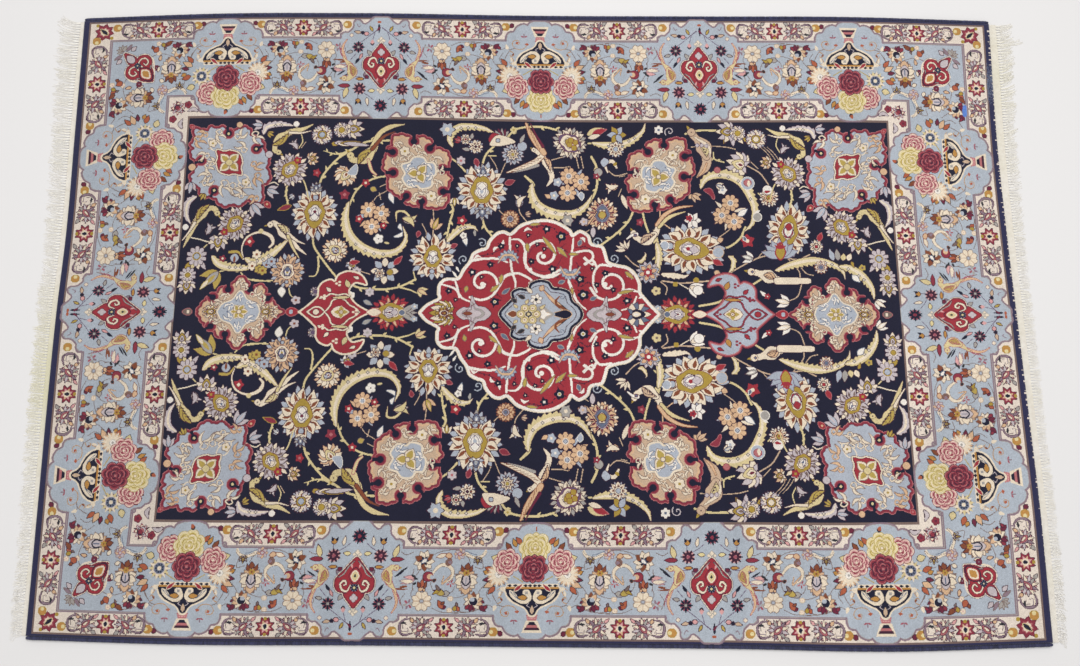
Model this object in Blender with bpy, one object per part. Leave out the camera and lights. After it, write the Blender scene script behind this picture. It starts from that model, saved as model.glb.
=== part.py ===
"""A small hand-knotted rug, as it lies flat on a floor.

The knotted cloth is one flat sheet. An overcast cord runs down each long side,
and at each short end a narrow flat-woven web carries the fringe of warp ends.
X runs along the rug, Y across it, and Z up from the floor that it lies on.
"""
import math
import random

import bmesh
import bpy

# ---- driving sizes, in millimetres ----
MM = 0.001
SEAM = 0.3                 # space between one piece and the next

NOMINAL_LONG = 1600.0      # the knotted cloth, end to end
NOMINAL_WIDE = 1075.0      # and over both side cords
CLOTH_THICK = 6.0          # foundation and pile together
SHOULDER_DROP = 1.4        # how far the pile's rim is lower than its top
SHOULDER_WIDE = 1.6        # how far in from the rim the pile is at full height
SWELL = 0.35               # slow rise and fall of the pile's top
SWELL_LONG = 173.0         # how slow it is along the rug
SWELL_WIDE = 121.0         # across it
SWELL_SLANT = 219.0        # and on the slant
SWELL_FADE = 120.0         # it fades out this near the rim
CLOTH_CELLS_LONG = 28      # straight stretches along the cloth
CLOTH_CELLS_WIDE = 18      # and across it, which the webs share

CORD_WIDE = 6.0            # overcast cord along each long side
CORD_HIGH = 5.4
CORD_SIDES = 8
CORD_STEPS = 32
CORD_END_TAPER = 0.55      # the cord's ends are drawn in to this share of its width

WEB_THICK = 1.6            # flat-woven strip at each short end
LOCKS_PER_CELL = 8         # locks of warp ends on each straight stretch of web
LOCK_ROOT_WIDE = 3.2
LOCK_WIDE = 2.2
LOCK_HIGH = 1.5
LOCK_TIP_SHARE = 0.45      # a lock's tip, as a share of its width and height
LOCK_SEED = 11
REACH_SPREAD = (0.88, 1.08)     # how much the locks differ in length
SWEEP_SPREAD = (-1.0, 1.0)      # how far their tips wander, in millimetres
BEND_SPREAD = (-0.8, 0.8)       # and how far they bow
LOCK_SHARES = (0.3, 0.65, 1.0)  # places along a lock where it bends
BOW_TURNS = 0.8                 # turns of a wave from a lock's root to its tip

# Box that the rug fits in with its fringe, so that its middle is the origin.
REACH_LONG = 858.0
REACH_WIDE = 543.0

# The long edges as they lie: how far the far and near edge are from the middle.
LONG_EDGES = [
    {"x": -800, "far": 531.0, "near": 529.5},
    {"x": -550, "far": 541.5, "near": 536.0},
    {"x": -300, "far": 543.0, "near": 536.2},
    {"x": 0, "far": 538.8, "near": 538.0},
    {"x": 300, "far": 538.6, "near": 539.6},
    {"x": 550, "far": 538.4, "near": 543.0},
    {"x": 800, "far": 531.0, "near": 534.7},
]

# The short edges as they lie: how far the left and right edge are from the middle.
SHORT_EDGES = [
    {"y": -530, "left": 796.0, "right": 804.5},
    {"y": -340, "left": 798.5, "right": 805.0},
    {"y": -175, "left": 800.6, "right": 801.6},
    {"y": -10, "left": 801.6, "right": 798.2},
    {"y": 155, "left": 799.2, "right": 794.6},
    {"y": 320, "left": 802.2, "right": 793.2},
    {"y": 530, "left": 806.0, "right": 798.4},
]

# The web and its fringe down each short end: how wide the web is, how far the
# locks reach past it, and how far their tips are swept towards the far edge.
LEFT_FRINGE = [
    {"y": -525, "web": 9.0, "reach": 21.0, "sweep": -6.0},
    {"y": -400, "web": 9.0, "reach": 22.0, "sweep": -2.0},
    {"y": -250, "web": 9.5, "reach": 25.0, "sweep": 0.0},
    {"y": -100, "web": 10.0, "reach": 27.0, "sweep": 2.0},
    {"y": 60, "web": 10.5, "reach": 29.0, "sweep": 3.0},
    {"y": 250, "web": 10.5, "reach": 33.0, "sweep": 5.0},
    {"y": 380, "web": 10.0, "reach": 38.0, "sweep": 4.0},
    {"y": 470, "web": 9.5, "reach": 42.0, "sweep": 6.0},
    {"y": 525, "web": 8.5, "reach": 44.0, "sweep": 12.0},
]
RIGHT_FRINGE = [
    {"y": -525, "web": 11.0, "reach": 17.0, "sweep": -8.0},
    {"y": -430, "web": 12.0, "reach": 18.0, "sweep": -3.0},
    {"y": -250, "web": 12.5, "reach": 17.0, "sweep": 0.0},
    {"y": -50, "web": 13.0, "reach": 19.0, "sweep": 1.0},
    {"y": 150, "web": 14.0, "reach": 21.0, "sweep": 3.0},
    {"y": 330, "web": 15.0, "reach": 26.0, "sweep": 5.0},
    {"y": 460, "web": 15.0, "reach": 29.0, "sweep": 7.0},
    {"y": 525, "web": 14.0, "reach": 30.0, "sweep": 4.0},
]
LONG_LOCK_Y = 487.0        # one lock on the right lies out to the full reach


def read_smoothly(table, key, place, column):
    """The column's value at the place, on a smooth curve through the table's rows."""
    rows = sorted(table, key=lambda row: row[key])
    place = min(max(place, rows[0][key]), rows[-1][key])
    last = len(rows) - 1
    i = 0
    while i < last - 1 and place > rows[i + 1][key]:
        i += 1
    here, after = rows[i], rows[i + 1]
    step = after[key] - here[key]

    def slope(k):
        low, high = max(k - 1, 0), min(k + 1, last)
        return (rows[high][column] - rows[low][column]) / (rows[high][key] - rows[low][key])

    t = (place - here[key]) / step
    rise = 3 * t * t - 2 * t * t * t
    start_pull = slope(i) * step * (t - 2 * t * t + t * t * t)
    end_pull = slope(i + 1) * step * (t * t * t - t * t)
    return here[column] * (1 - rise) + after[column] * rise + start_pull + end_pull


def far_edge(x):
    return min(read_smoothly(LONG_EDGES, "x", x, "far"), REACH_WIDE)


def near_edge(x):
    return -min(read_smoothly(LONG_EDGES, "x", x, "near"), REACH_WIDE)


def left_edge(y):
    return -read_smoothly(SHORT_EDGES, "y", y, "left")


def right_edge(y):
    return read_smoothly(SHORT_EDGES, "y", y, "right")


def swell(x, y):
    """Slow unevenness of the pile's top, which fades out at the rim."""
    crossing = math.sin(x / SWELL_LONG) * math.sin(y / SWELL_WIDE)
    slanting = math.sin((x + 2 * y) / SWELL_SLANT)
    inset = min(REACH_WIDE - abs(y), REACH_LONG - abs(x))
    return SWELL * (crossing + slanting) * min(max(inset / SWELL_FADE, 0.0), 1.0)


def make_material(name, colour, roughness):
    material = bpy.data.materials.new(name)
    material.use_nodes = True
    shader = material.node_tree.nodes["Principled BSDF"]
    shader.inputs["Base Color"].default_value = (*colour, 1.0)
    shader.inputs["Roughness"].default_value = roughness
    shader.inputs["Metallic"].default_value = 0.0
    return material


def finish_object(name, bm, material, smooth_angle):
    """Turn the mesh in millimetres into a named object in metres."""
    bmesh.ops.recalc_face_normals(bm, faces=bm.faces)
    bmesh.ops.scale(bm, vec=(MM, MM, MM), verts=bm.verts)
    mesh = bpy.data.meshes.new(name)
    bm.to_mesh(mesh)
    bm.free()
    mesh.materials.append(material)
    mesh.shade_smooth()
    mesh.set_sharp_from_angle(angle=math.radians(smooth_angle))
    piece = bpy.data.objects.new(name, mesh)
    bpy.context.scene.collection.objects.link(piece)
    return piece


def spaced_shares(cells, rim_share):
    """Shares from 0 to 1 across the cloth, with a narrow cell at each rim."""
    inner = [rim_share + (1 - 2 * rim_share) * k / cells for k in range(cells + 1)]
    return [0.0] + inner + [1.0]


def cloth_place(long_share, wide_share):
    """Where a share of the cloth's length and width lies on the floor."""
    x_flat = (2 * long_share - 1) * NOMINAL_LONG / 2
    y_flat = (2 * wide_share - 1) * NOMINAL_WIDE / 2
    x = left_edge(y_flat) * (1 - long_share) + right_edge(y_flat) * long_share
    low = near_edge(x_flat) + CORD_WIDE + SEAM
    high = far_edge(x_flat) - CORD_WIDE - SEAM
    return x, low * (1 - wide_share) + high * wide_share


def make_cloth(material):
    """The knotted cloth: flat below, its top swelling a little, its rim rounded."""
    long_shares = spaced_shares(CLOTH_CELLS_LONG, SHOULDER_WIDE / NOMINAL_LONG)
    wide_shares = spaced_shares(CLOTH_CELLS_WIDE, SHOULDER_WIDE / NOMINAL_WIDE)
    last_long = len(long_shares) - 1
    last_wide = len(wide_shares) - 1
    bm = bmesh.new()
    top = {}
    foot = {}
    for i, s in enumerate(long_shares):
        for j, t in enumerate(wide_shares):
            x, y = cloth_place(s, t)
            on_rim = i in (0, last_long) or j in (0, last_wide)
            height = CLOTH_THICK - SHOULDER_DROP if on_rim else CLOTH_THICK + swell(x, y)
            top[i, j] = bm.verts.new((x, y, height))
            if on_rim:
                foot[i, j] = bm.verts.new((x, y, 0.0))
    for i in range(last_long):
        for j in range(last_wide):
            bm.faces.new((top[i, j], top[i + 1, j], top[i + 1, j + 1], top[i, j + 1]))
    rim = [(i, 0) for i in range(last_long)]
    rim += [(last_long, j) for j in range(last_wide)]
    rim += [(i, last_wide) for i in range(last_long, 0, -1)]
    rim += [(0, j) for j in range(last_wide, 0, -1)]
    for here, after in zip(rim, rim[1:] + rim[:1]):
        bm.faces.new((foot[here], foot[after], top[after], top[here]))
    bm.faces.new([foot[k] for k in reversed(rim)])
    return finish_object("rug_body", bm, material, smooth_angle=40)


def make_side_cord(name, edge, outward, material):
    """The overcast cord along one long side: a round-backed bar that lies flat."""
    flat_share = math.cos(math.pi / CORD_SIDES)
    bm = bmesh.new()
    rings = []
    for k in range(CORD_STEPS + 1):
        share = k / CORD_STEPS
        outer = edge((2 * share - 1) * NOMINAL_LONG / 2)
        y_mid = outer - outward * CORD_WIDE / 2
        x = left_edge(y_mid) * (1 - share) + right_edge(y_mid) * share
        at_end = k in (0, CORD_STEPS)
        size = CORD_END_TAPER if at_end else 1.0
        inner = outer - outward * CORD_WIDE
        ring = []
        for side in range(CORD_SIDES):
            turn = math.pi / CORD_SIDES + 2 * math.pi * side / CORD_SIDES
            across = math.cos(turn) / flat_share
            up = math.sin(turn) / flat_share
            y = inner + outward * CORD_WIDE / 2 * (1 + across) * size
            z = CORD_HIGH / 2 * (1 + up) * size
            ring.append(bm.verts.new((x, y, z)))
        rings.append(ring)
    for ring, following in zip(rings, rings[1:]):
        for side in range(CORD_SIDES):
            after = (side + 1) % CORD_SIDES
            bm.faces.new((ring[side], ring[after], following[after], following[side]))
    bm.faces.new(rings[0])
    bm.faces.new(rings[-1])
    return finish_object(name, bm, material, smooth_angle=50)


def lock_path(root_x, root_y, outward, reach, sweep, bend):
    """Places along one lock, which leaves the web straight and then lies over."""
    path = []
    for share in LOCK_SHARES:
        bow = bend * math.sin(2 * math.pi * BOW_TURNS * share)
        x = root_x + outward * reach * share
        y = root_y + sweep * share * share + bow
        path.append((x, y))
    return path


def add_lock(bm, root, path):
    """A three-sided lock on the web's outer wall, flat side down on the floor."""
    low_a, low_b, high_b, high_a = root
    before = None
    for k, (x, y) in enumerate(path):
        shrink = 1 - (1 - LOCK_TIP_SHARE) * (k + 1) / len(path)
        foot_a = bm.verts.new((x, y - LOCK_WIDE / 2 * shrink, 0.0))
        foot_b = bm.verts.new((x, y + LOCK_WIDE / 2 * shrink, 0.0))
        ridge = bm.verts.new((x, y, LOCK_HIGH * shrink))
        if before is None:
            bm.faces.new((low_a, low_b, foot_b, foot_a))
            bm.faces.new((low_a, foot_a, ridge, high_a))
            bm.faces.new((low_b, high_b, ridge, foot_b))
            bm.faces.new((high_a, ridge, high_b))
        else:
            old_a, old_b, old_ridge = before
            bm.faces.new((old_a, old_b, foot_b, foot_a))
            bm.faces.new((old_a, foot_a, ridge, old_ridge))
            bm.faces.new((old_b, old_ridge, ridge, foot_b))
        before = (foot_a, foot_b, ridge)
    bm.faces.new(before)


def make_fringe(name, end_share, outward, table, material):
    """A flat-woven web with its locks of warp ends, all level on the floor."""
    draw = random.Random(LOCK_SEED + end_share)
    shares = spaced_shares(CLOTH_CELLS_WIDE, SHOULDER_WIDE / NOMINAL_WIDE)
    rim_shares = [0.0] + shares[2:-2] + [1.0]
    bm = bmesh.new()

    def station(x, y):
        return bm.verts.new((x, y, 0.0)), bm.verts.new((x, y, WEB_THICK))

    def web_place(place):
        x, y = place
        return x + outward * read_smoothly(table, "y", y, "web"), y

    rim = [cloth_place(end_share, share) for share in rim_shares]
    inner = [station(x + outward * SEAM, y) for x, y in rim]
    edge_before = station(*web_place(rim[0]))
    bm.faces.new((inner[0][0], inner[0][1], edge_before[1], edge_before[0]))
    for cell in range(len(rim) - 1):
        start, end = rim[cell], rim[cell + 1]
        edge_run = [edge_before]
        for k in range(LOCKS_PER_CELL):
            share = (k + 0.5) / LOCKS_PER_CELL
            x_rim = start[0] * (1 - share) + end[0] * share
            y_mid = start[1] * (1 - share) + end[1] * share
            x_web, _ = web_place((x_rim, y_mid))
            root_a = station(x_web, y_mid - LOCK_ROOT_WIDE / 2)
            root_b = station(x_web, y_mid + LOCK_ROOT_WIDE / 2)
            bm.faces.new((edge_run[-1][0], root_a[0], root_a[1], edge_run[-1][1]))
            edge_run += [root_a, root_b]
            reach = read_smoothly(table, "y", y_mid, "reach") * draw.uniform(*REACH_SPREAD)
            sweep = read_smoothly(table, "y", y_mid, "sweep") + draw.uniform(*SWEEP_SPREAD)
            bend = draw.uniform(*BEND_SPREAD)
            room = REACH_LONG - abs(x_web)
            half_pitch = (end[1] - start[1]) / LOCKS_PER_CELL / 2
            is_long_lock = outward > 0 and abs(y_mid - LONG_LOCK_Y) < half_pitch
            reach = room if is_long_lock else min(reach, room)
            side_limit = REACH_WIDE - LOCK_WIDE
            if abs(y_mid + sweep) > side_limit:
                sweep = math.copysign(side_limit, y_mid) - y_mid
            path = lock_path(x_web, y_mid, outward, reach, sweep, bend)
            add_lock(bm, (root_a[0], root_b[0], root_b[1], root_a[1]), path)
        edge_end = station(*web_place(end))
        bm.faces.new((edge_run[-1][0], edge_end[0], edge_end[1], edge_run[-1][1]))
        edge_run.append(edge_end)
        here, after = inner[cell], inner[cell + 1]
        for level in (0, 1):
            bm.faces.new([here[level], *(place[level] for place in edge_run), after[level]])
        bm.faces.new((here[0], here[1], after[1], after[0]))
        edge_before = edge_end
    bm.faces.new((inner[-1][0], inner[-1][1], edge_before[1], edge_before[0]))
    return finish_object(name, bm, material, smooth_angle=30)


def build_rug():
    for thing in list(bpy.data.objects):
        bpy.data.objects.remove(thing, do_unlink=True)
    pile_wool = make_material("pile_wool", (0.19, 0.17, 0.20), 0.85)
    cord_wool = make_material("cord_wool", (0.016, 0.020, 0.055), 0.80)
    warp_cotton = make_material("warp_cotton", (0.80, 0.76, 0.67), 0.90)
    make_cloth(pile_wool)
    make_side_cord("selvedge_far", far_edge, 1.0, cord_wool)
    make_side_cord("selvedge_near", near_edge, -1.0, cord_wool)
    make_fringe("fringe_left", 0, -1.0, LEFT_FRINGE, warp_cotton)
    make_fringe("fringe_right", 1, 1.0, RIGHT_FRINGE, warp_cotton)


build_rug()
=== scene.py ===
import math
import random

import bpy
import numpy as np
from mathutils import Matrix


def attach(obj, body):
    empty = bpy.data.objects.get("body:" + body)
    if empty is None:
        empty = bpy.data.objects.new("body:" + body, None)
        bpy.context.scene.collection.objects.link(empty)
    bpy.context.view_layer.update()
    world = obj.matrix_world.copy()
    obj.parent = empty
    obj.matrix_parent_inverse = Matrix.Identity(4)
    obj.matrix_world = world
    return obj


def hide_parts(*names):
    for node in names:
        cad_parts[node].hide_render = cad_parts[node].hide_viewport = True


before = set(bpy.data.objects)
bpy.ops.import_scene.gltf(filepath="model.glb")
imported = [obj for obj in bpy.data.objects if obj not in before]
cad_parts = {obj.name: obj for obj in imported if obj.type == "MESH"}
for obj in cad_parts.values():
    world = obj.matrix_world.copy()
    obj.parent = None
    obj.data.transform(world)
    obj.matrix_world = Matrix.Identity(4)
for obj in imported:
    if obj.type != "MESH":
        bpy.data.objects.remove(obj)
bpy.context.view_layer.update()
bpy.ops.object.select_all(action="DESELECT")
MM = 0.001


# ---- The weaver's chart ----
# A rug is knotted from a chart that gives every knot its dye. It is drawn here with a pen, from
# outlines, strokes and flowers, in mm from the cloth's middle. Points are complex numbers: x
# along the rug and y across it. Real knots are half as wide: 1 mm lets them show in the render.
(NAVY, EDGE_NAVY, BLUE, CREAM, MAUVE, BROWN, CRIMSON, PINK, PLUM, TAN, GOLD, SKY, RED,
 LILAC, IVORY, PEACH, RUST, STRAW, WINE, ROSE, ROSE_LINE, YELLOW, OCHRE, ORANGE,
 DARK_LEAF, WHITE, SLATE, GREY, VIOLET, AMBER, MENDED) = range(31)
DYES = {
    NAVY: "1c1c30", EDGE_NAVY: "2b2b4a", BLUE: "a9b0b9", CREAM: "dccec0", MAUVE: "87727c",
    BROWN: "76625c", CRIMSON: "863240", PINK: "b06a6c", PLUM: "402234", TAN: "c2a68c",
    GOLD: "a58a3e", SKY: "a7acb6", RED: "98303a", LILAC: "beb2b4", IVORY: "dfcfb8",
    PEACH: "d0ab88", RUST: "7e4630", STRAW: "cfbd8e", WINE: "68263a", ROSE: "cf9a98",
    ROSE_LINE: "9c5460", YELLOW: "d8c894", OCHRE: "b09850", ORANGE: "a85a40",
    DARK_LEAF: "2c2c32", WHITE: "e4dcd2", SLATE: "626a7e", GREY: "a09a94",
    VIOLET: "63506a", AMBER: "b58446", MENDED: "5c7fc4",
}
KNOTS_LONG, KNOTS_WIDE = 1600, 1064
MID_COLUMN, MID_ROW = KNOTS_LONG // 2, KNOTS_WIDE // 2
chart = np.full((KNOTS_WIDE, KNOTS_LONG), NAVY, np.uint8)
pen = {"at": 0, "turn": 1, "flip": False}
FULL_TURN = 2 * np.pi


def hold_pen(at=0, turn=1, flip=False):
    """Turn the paper: the next strokes are drawn round this place, turned or mirrored."""
    pen.update(at=at, turn=turn, flip=flip)


def both_sides():
    """For a loop: the same strokes as they are, then turned over to the other side."""
    for side in (1, -1):
        yield side
        pen.update(turn=-pen["turn"], flip=not pen["flip"])


def on_cloth(points):
    points = np.atleast_1d(np.asarray(points, complex))
    return pen["at"] + pen["turn"] * (np.conj(points) if pen["flip"] else points)


def curve(points, closed=False, step=1.5):
    """Close-set places on a smooth line through the points."""
    points = np.asarray(points, complex)
    if closed:
        ring = np.concatenate([points[-1:], points, points[:2]])
    else:
        ends = 2 * points[:1] - points[1:2], 2 * points[-1:] - points[-2:-1]
        ring = np.concatenate([ends[0], points, ends[1]])
    places = []
    for a, b, c, d in zip(ring, ring[1:], ring[2:], ring[3:]):
        count = max(2, int(abs(c - b) / step))
        t = np.arange(count) / count
        places.append(0.5 * (2 * b + (c - a) * t + (2 * a - 5 * b + 4 * c - d) * t ** 2
                             + (3 * b - a - 3 * c + d) * t ** 3))
    if not closed:
        places.append(ring[-2:-1])
    return np.concatenate(places)


def fill(outline, dye):
    """Give the dye to every knot whose middle is inside the outline."""
    z = on_cloth(outline)
    first_x = max(int(z.real.min()) + MID_COLUMN - 1, 0)
    first_y = max(int(z.imag.min()) + MID_ROW - 1, 0)
    xs = np.arange(first_x, min(int(z.real.max()) + MID_COLUMN + 2, KNOTS_LONG)) - MID_COLUMN + 0.5
    ys = np.arange(first_y, min(int(z.imag.max()) + MID_ROW + 2, KNOTS_WIDE)) - MID_ROW + 0.5
    if not (len(xs) and len(ys)):
        return
    inside = np.zeros((len(ys), len(xs)), bool)
    for a, b in zip(z, np.roll(z, -1)):
        crossed = np.nonzero((ys > a.imag) != (ys > b.imag))[0]
        if len(crossed):
            x_there = a.real + (ys[crossed] - a.imag) * (b.real - a.real) / (b.imag - a.imag)
            inside[crossed] ^= xs[None, :] < x_there[:, None]
    patch = chart[first_y:first_y + len(ys), first_x:first_x + len(xs)]
    patch[inside] = dye


def ribbon(points, widths, dye, edge=None, rim=1, closed=False):
    """A stroke along a smooth line, whose width follows the widths given along it."""
    z = on_cloth(curve(points, closed, 0.6))
    widths = np.atleast_1d(np.asarray(widths, float))
    half = np.interp(np.linspace(0, 1, len(z)), np.linspace(0, 1, len(widths)), widths) / 2
    for grown, colour in ((rim, edge), (0, dye)):
        if colour is None:
            continue
        reach = int(half.max() + grown) + 1
        steps = np.arange(-reach, reach + 1)
        x = np.floor(z.real)[:, None, None] + steps[None, None, :] + 0.5
        y = np.floor(z.imag)[:, None, None] + steps[None, :, None] + 0.5
        near = np.hypot(x - z.real[:, None, None], y - z.imag[:, None, None])
        hit = near <= np.maximum(half[:, None, None] + grown, 0.55)
        x, y = np.broadcast_arrays(x, y)
        x, y = (x[hit] + MID_COLUMN).astype(int), (y[hit] + MID_ROW).astype(int)
        on_chart = (x >= 0) & (x < KNOTS_LONG) & (y >= 0) & (y < KNOTS_WIDE)
        chart[y[on_chart], x[on_chart]] = colour


def paint(outline, dye, edge=None, rim=1):
    """Fill a closed outline, with a thin edge drawn round it."""
    if edge is not None:
        ribbon(outline, 2 * rim, edge, closed=True)
    fill(outline, dye)


def shape(points, dye, edge=None, rim=1):
    paint(curve(points, closed=True), dye, edge, rim)


def disc(at, radius, dye, edge=None, rim=1):
    around = np.linspace(0, FULL_TURN, max(8, int(radius * 3)), endpoint=False)
    paint(at + radius * np.exp(1j * around), dye, edge, rim)


def leaf(base, tip, wide, dye, edge=None, bend=0):
    """A pointed leaf or petal from its base to its tip."""
    t = np.linspace(0, 1, 12)
    along = tip - base
    middle = base + along * (t + 1j * bend * np.sin(np.pi * t))
    half = 0.5j * wide * along / abs(along) * np.sin(np.pi * t ** 0.8)
    paint(np.concatenate([middle + half, (middle - half)[::-1]]), dye, edge)


def fan(at, inner, outer, start, step, count, wide, dyes, edge=None):
    """Leaves that spread from one place, their dyes taken in turn."""
    for k in range(count):
        ray = np.exp(1j * (start + step * k))
        leaf(at + inner * ray, at + outer * ray, wide, dyes[k % len(dyes)], edge)


def daisy(at, radius, dye, heart, petals=8, edge=PLUM, ring=None, turn=0, share=0.3):
    """A round open flower, with a dark dot between each two petals."""
    around = np.linspace(0, FULL_TURN, petals * 8, endpoint=False)
    rim = radius * (1 - 0.24 * np.abs(np.cos(petals * around / 2)) ** 4)
    paint(at + rim * np.exp(1j * (around + turn)), dye, edge)
    if radius > 9 and edge is not None:
        for k in range(petals):
            ray = radius * np.exp(1j * (k * FULL_TURN / petals + turn))
            ribbon([at + 0.5 * ray, at + 0.76 * ray], 1.0, edge)
    if ring is not None:
        disc(at, radius * (share + 0.14), ring)
    disc(at, radius * share, heart, edge if radius > 12 else None, 0.7)


def corolla(at, radius, petals, dyes, edge=None, wide=0.4, turn=0):
    """An open flower of pointed petals."""
    fan(at, 0.15 * radius, radius, turn, FULL_TURN / petals, petals, radius * wide, dyes, edge)


def aster(at, radius, dye, between, heart, petals=8):
    """A dark flower of narrow petals, with lighter ones behind them."""
    corolla(at, radius * 0.9, petals, [between], None, 0.3, np.pi / petals)
    corolla(at, radius, petals, [dye], None, 0.34)
    disc(at, radius * 0.22, heart)


def star(at, radius, dye, heart, points, edge=None, turn=0, depth=0.3):
    """A star with a round heart: each second point of its outline lies further in."""
    around = np.linspace(0, FULL_TURN, points * 2, endpoint=False)
    rim = radius * np.where(np.arange(points * 2) % 2, 1 - depth, 1)
    paint(at + rim * np.exp(1j * (around + turn)), dye, edge)
    disc(at, radius * 0.3, heart)


def palmette(at, tip, dyes, lobes):
    """A lotus seen from the side: scalloped layers, one in another, from the outer dye in."""
    axis = tip - at
    turn = np.linspace(-np.pi, np.pi, 12 * lobes, endpoint=False)
    for k, dye in enumerate(dyes):
        size = 1 - 0.23 * k
        round_rim = 0.8 + 0.2 * np.cos(turn) + 0.16 * np.exp(-(turn / 0.28) ** 2) * (k < 3)
        scallop = 1 - 0.13 * np.abs(np.cos((lobes - 2 * k) * turn / 2)) ** 3 * (k < 3)
        z = size * round_rim * scallop * np.exp(1j * turn)
        z = z.real + 0.9j * z.imag - 0.07 * k
        paint(at + axis * z, dye, PLUM, 1.0 if k == 0 else 0.6)


def lotus(at, tip, petals=13, dye=IVORY, slit=RUST, tips=SKY, shield=GOLD, heart=SKY, spot=RED,
          inner=None, slim=1.0, share=0.52):
    """A great lotus: slit petals all round, round tips between them, a shield in the middle."""
    axis = tip - at

    def spread(turn, reach):
        peak = 1 + 0.04 * np.cos(turn) + 0.15 * np.exp(-(np.sin(turn / 2) / 0.2) ** 2)
        return at + axis * reach * peak * (np.cos(turn) + 1j * slim * np.sin(turn))

    for k in range(petals):
        turn = FULL_TURN * (k + 0.5) / petals
        disc(spread(turn, 0.86), abs(axis) * 0.12, tips)
        leaf(spread(turn, 0.7), spread(turn, 1.07), abs(axis) * 0.2, tips, PLUM)
    for k in range(petals):
        turn = FULL_TURN * (k + 0.02) / petals
        base, end = spread(turn, 0.4), spread(turn, 1.03 if k % 2 else 0.94)
        leaf(base, end, abs(axis) * 0.36, dye, PLUM, 0.12 if k % 2 else -0.12)
        if slit is not None:
            leaf(spread(turn, 0.5), spread(turn, 0.86), abs(axis) * 0.13, slit)
    turns = np.linspace(-np.pi, np.pi, 72, endpoint=False)
    pointed = 1 + 0.06 * np.cos(turns) + 0.3 * np.exp(-(turns / 0.33) ** 2) - 0.05 * np.cos(6 * turns)
    layers = [(share + 0.06, inner), (share, shield), (share * 0.66, IVORY), (share * 0.5, heart)]
    for size, layer_dye in layers:
        if layer_dye is not None and abs(axis) * size > 3:
            z = size * pointed * (np.cos(turns) + 1j * slim * 0.86 * np.sin(turns))
            if layer_dye == IVORY:
                z = z * (1 - 0.16 * np.abs(np.cos(2.5 * turns)) ** 2)
            paint(at + axis * z, layer_dye, WINE if size >= share else PLUM, 0.8)
    if abs(axis) > 20:
        for side in (1, -1):
            leaf(at - 0.2 * axis, at + axis * (0.14 + 0.14j * side), abs(axis) * 0.12, WHITE, VIOLET)
    disc(at - 0.02 * axis, max(abs(axis) * 0.07, 1.5), spot)
    disc(at - axis * 0.62, abs(axis) * 0.1, tips, PLUM)


def half_lotus(base, tip, dye=IVORY, crown=SKY, shield=GOLD, heart=RUST, petals=9):
    """A lotus seen from the side, its petals fanned from its base."""
    axis = tip - base
    for k in range(petals):
        turn = (k / (petals - 1) - 0.5) * 3.5
        ray = axis * np.exp(1j * turn) * (0.8 + 0.2 * np.cos(turn))
        leaf(base + 0.25 * axis + 0.1 * ray, base + 0.2 * axis + 0.8 * ray, abs(axis) * 0.3,
             crown if k % 2 else dye, PLUM, 0.15 * np.sign(turn))
    for places, layer_dye, rim in (((0.02, 0.3 + 0.26j, 0.7, 0.3 - 0.26j), shield, 1.0),
                                   ((0.1, 0.28 + 0.15j, 0.52, 0.28 - 0.15j), dye, 0.7)):
        shape([base + axis * place for place in places], layer_dye, PLUM, rim)
    leaf(base + 0.15 * axis, base + 0.42 * axis, abs(axis) * 0.13, heart)
    for side in (1, -1):
        leaf(base + 0.05 * axis, base + axis * (-0.12 + 0.3j * side), abs(axis) * 0.16, crown, PLUM,
             -0.2 * side)


def sickle(points, wide, dye, side, dots=()):
    """A long curling leaf, toothed along one side, with ringed dots on it."""
    line = curve(points)
    share = np.linspace(0, 1, len(line))
    way = np.gradient(line)
    normal = 1j * way / np.abs(way)
    half = wide / 2 * np.sin(np.pi * share ** 0.75) ** 0.7
    saw = (np.cumsum(np.abs(way)) / 8.5) % 1
    teeth = half * (1 + 0.75 * saw * (half > 1.6))
    paint(np.concatenate([line + side * normal * teeth, (line - side * normal * half)[::-1]]), dye, PLUM)
    inner = half * 0.42
    fill(np.concatenate([line + side * normal * inner, (line - side * normal * inner)[::-1]]), IVORY)
    for dot in dots:
        disc(dot, 2.2, GREY, PLUM, 0.6)
        disc(dot, 0.8, IVORY)


def cluster(places, radius):
    """Daisies that grow together, with leaf tips between them."""
    middle = sum(places) / len(places)
    fan(middle, 10, radius * 2.05, 0.3, FULL_TURN / 9, 9, 6, [IVORY, SKY, PEACH], PLUM)
    for k, place in enumerate(places):
        daisy(place, radius, PEACH, SKY, 8, PLUM, WHITE, 0.2 * k, 0.2)


def blossom(at, radius, dye, heart=IVORY, turn=0):
    """A small spiky flower."""
    fan(at, -0.1 * radius, radius, turn, FULL_TURN / 5, 5, radius * 0.8, [dye])
    disc(at, radius * 0.28, heart)


def spray(base, tip, dye=LILAC, second=SKY):
    """A sprig of three jagged leaves."""
    along = tip - base
    for side, reach in ((0.5, 0.75), (-0.5, 0.7), (0.0, 1.0)):
        leaf(base, base + along * (reach + 1j * side), abs(along) * 0.36, dye if side else second, PLUM)
    leaf(base + 0.2 * along, base + 0.9 * along, abs(along) * 0.16, dye)


def bud(base, tip, dye, cup):
    """A closed bud in its cup of small sepals."""
    along = tip - base
    leaf(base + 0.15 * along, tip, abs(along) * 0.62, dye)
    for side in (1, -1):
        leaf(base, base + along * (0.5 + 0.34j * side), abs(along) * 0.22, cup)


def tulip(base, tip, dye, inner):
    """Three pointed petals that open from one base."""
    along = tip - base
    leaf(base, base + along * 0.95, abs(along) * 0.5, inner, PLUM)
    for side in (1, -1):
        leaf(base, base + along * (0.9 + 0.42j * side), abs(along) * 0.34, dye, PLUM, -0.22 * side)


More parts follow.
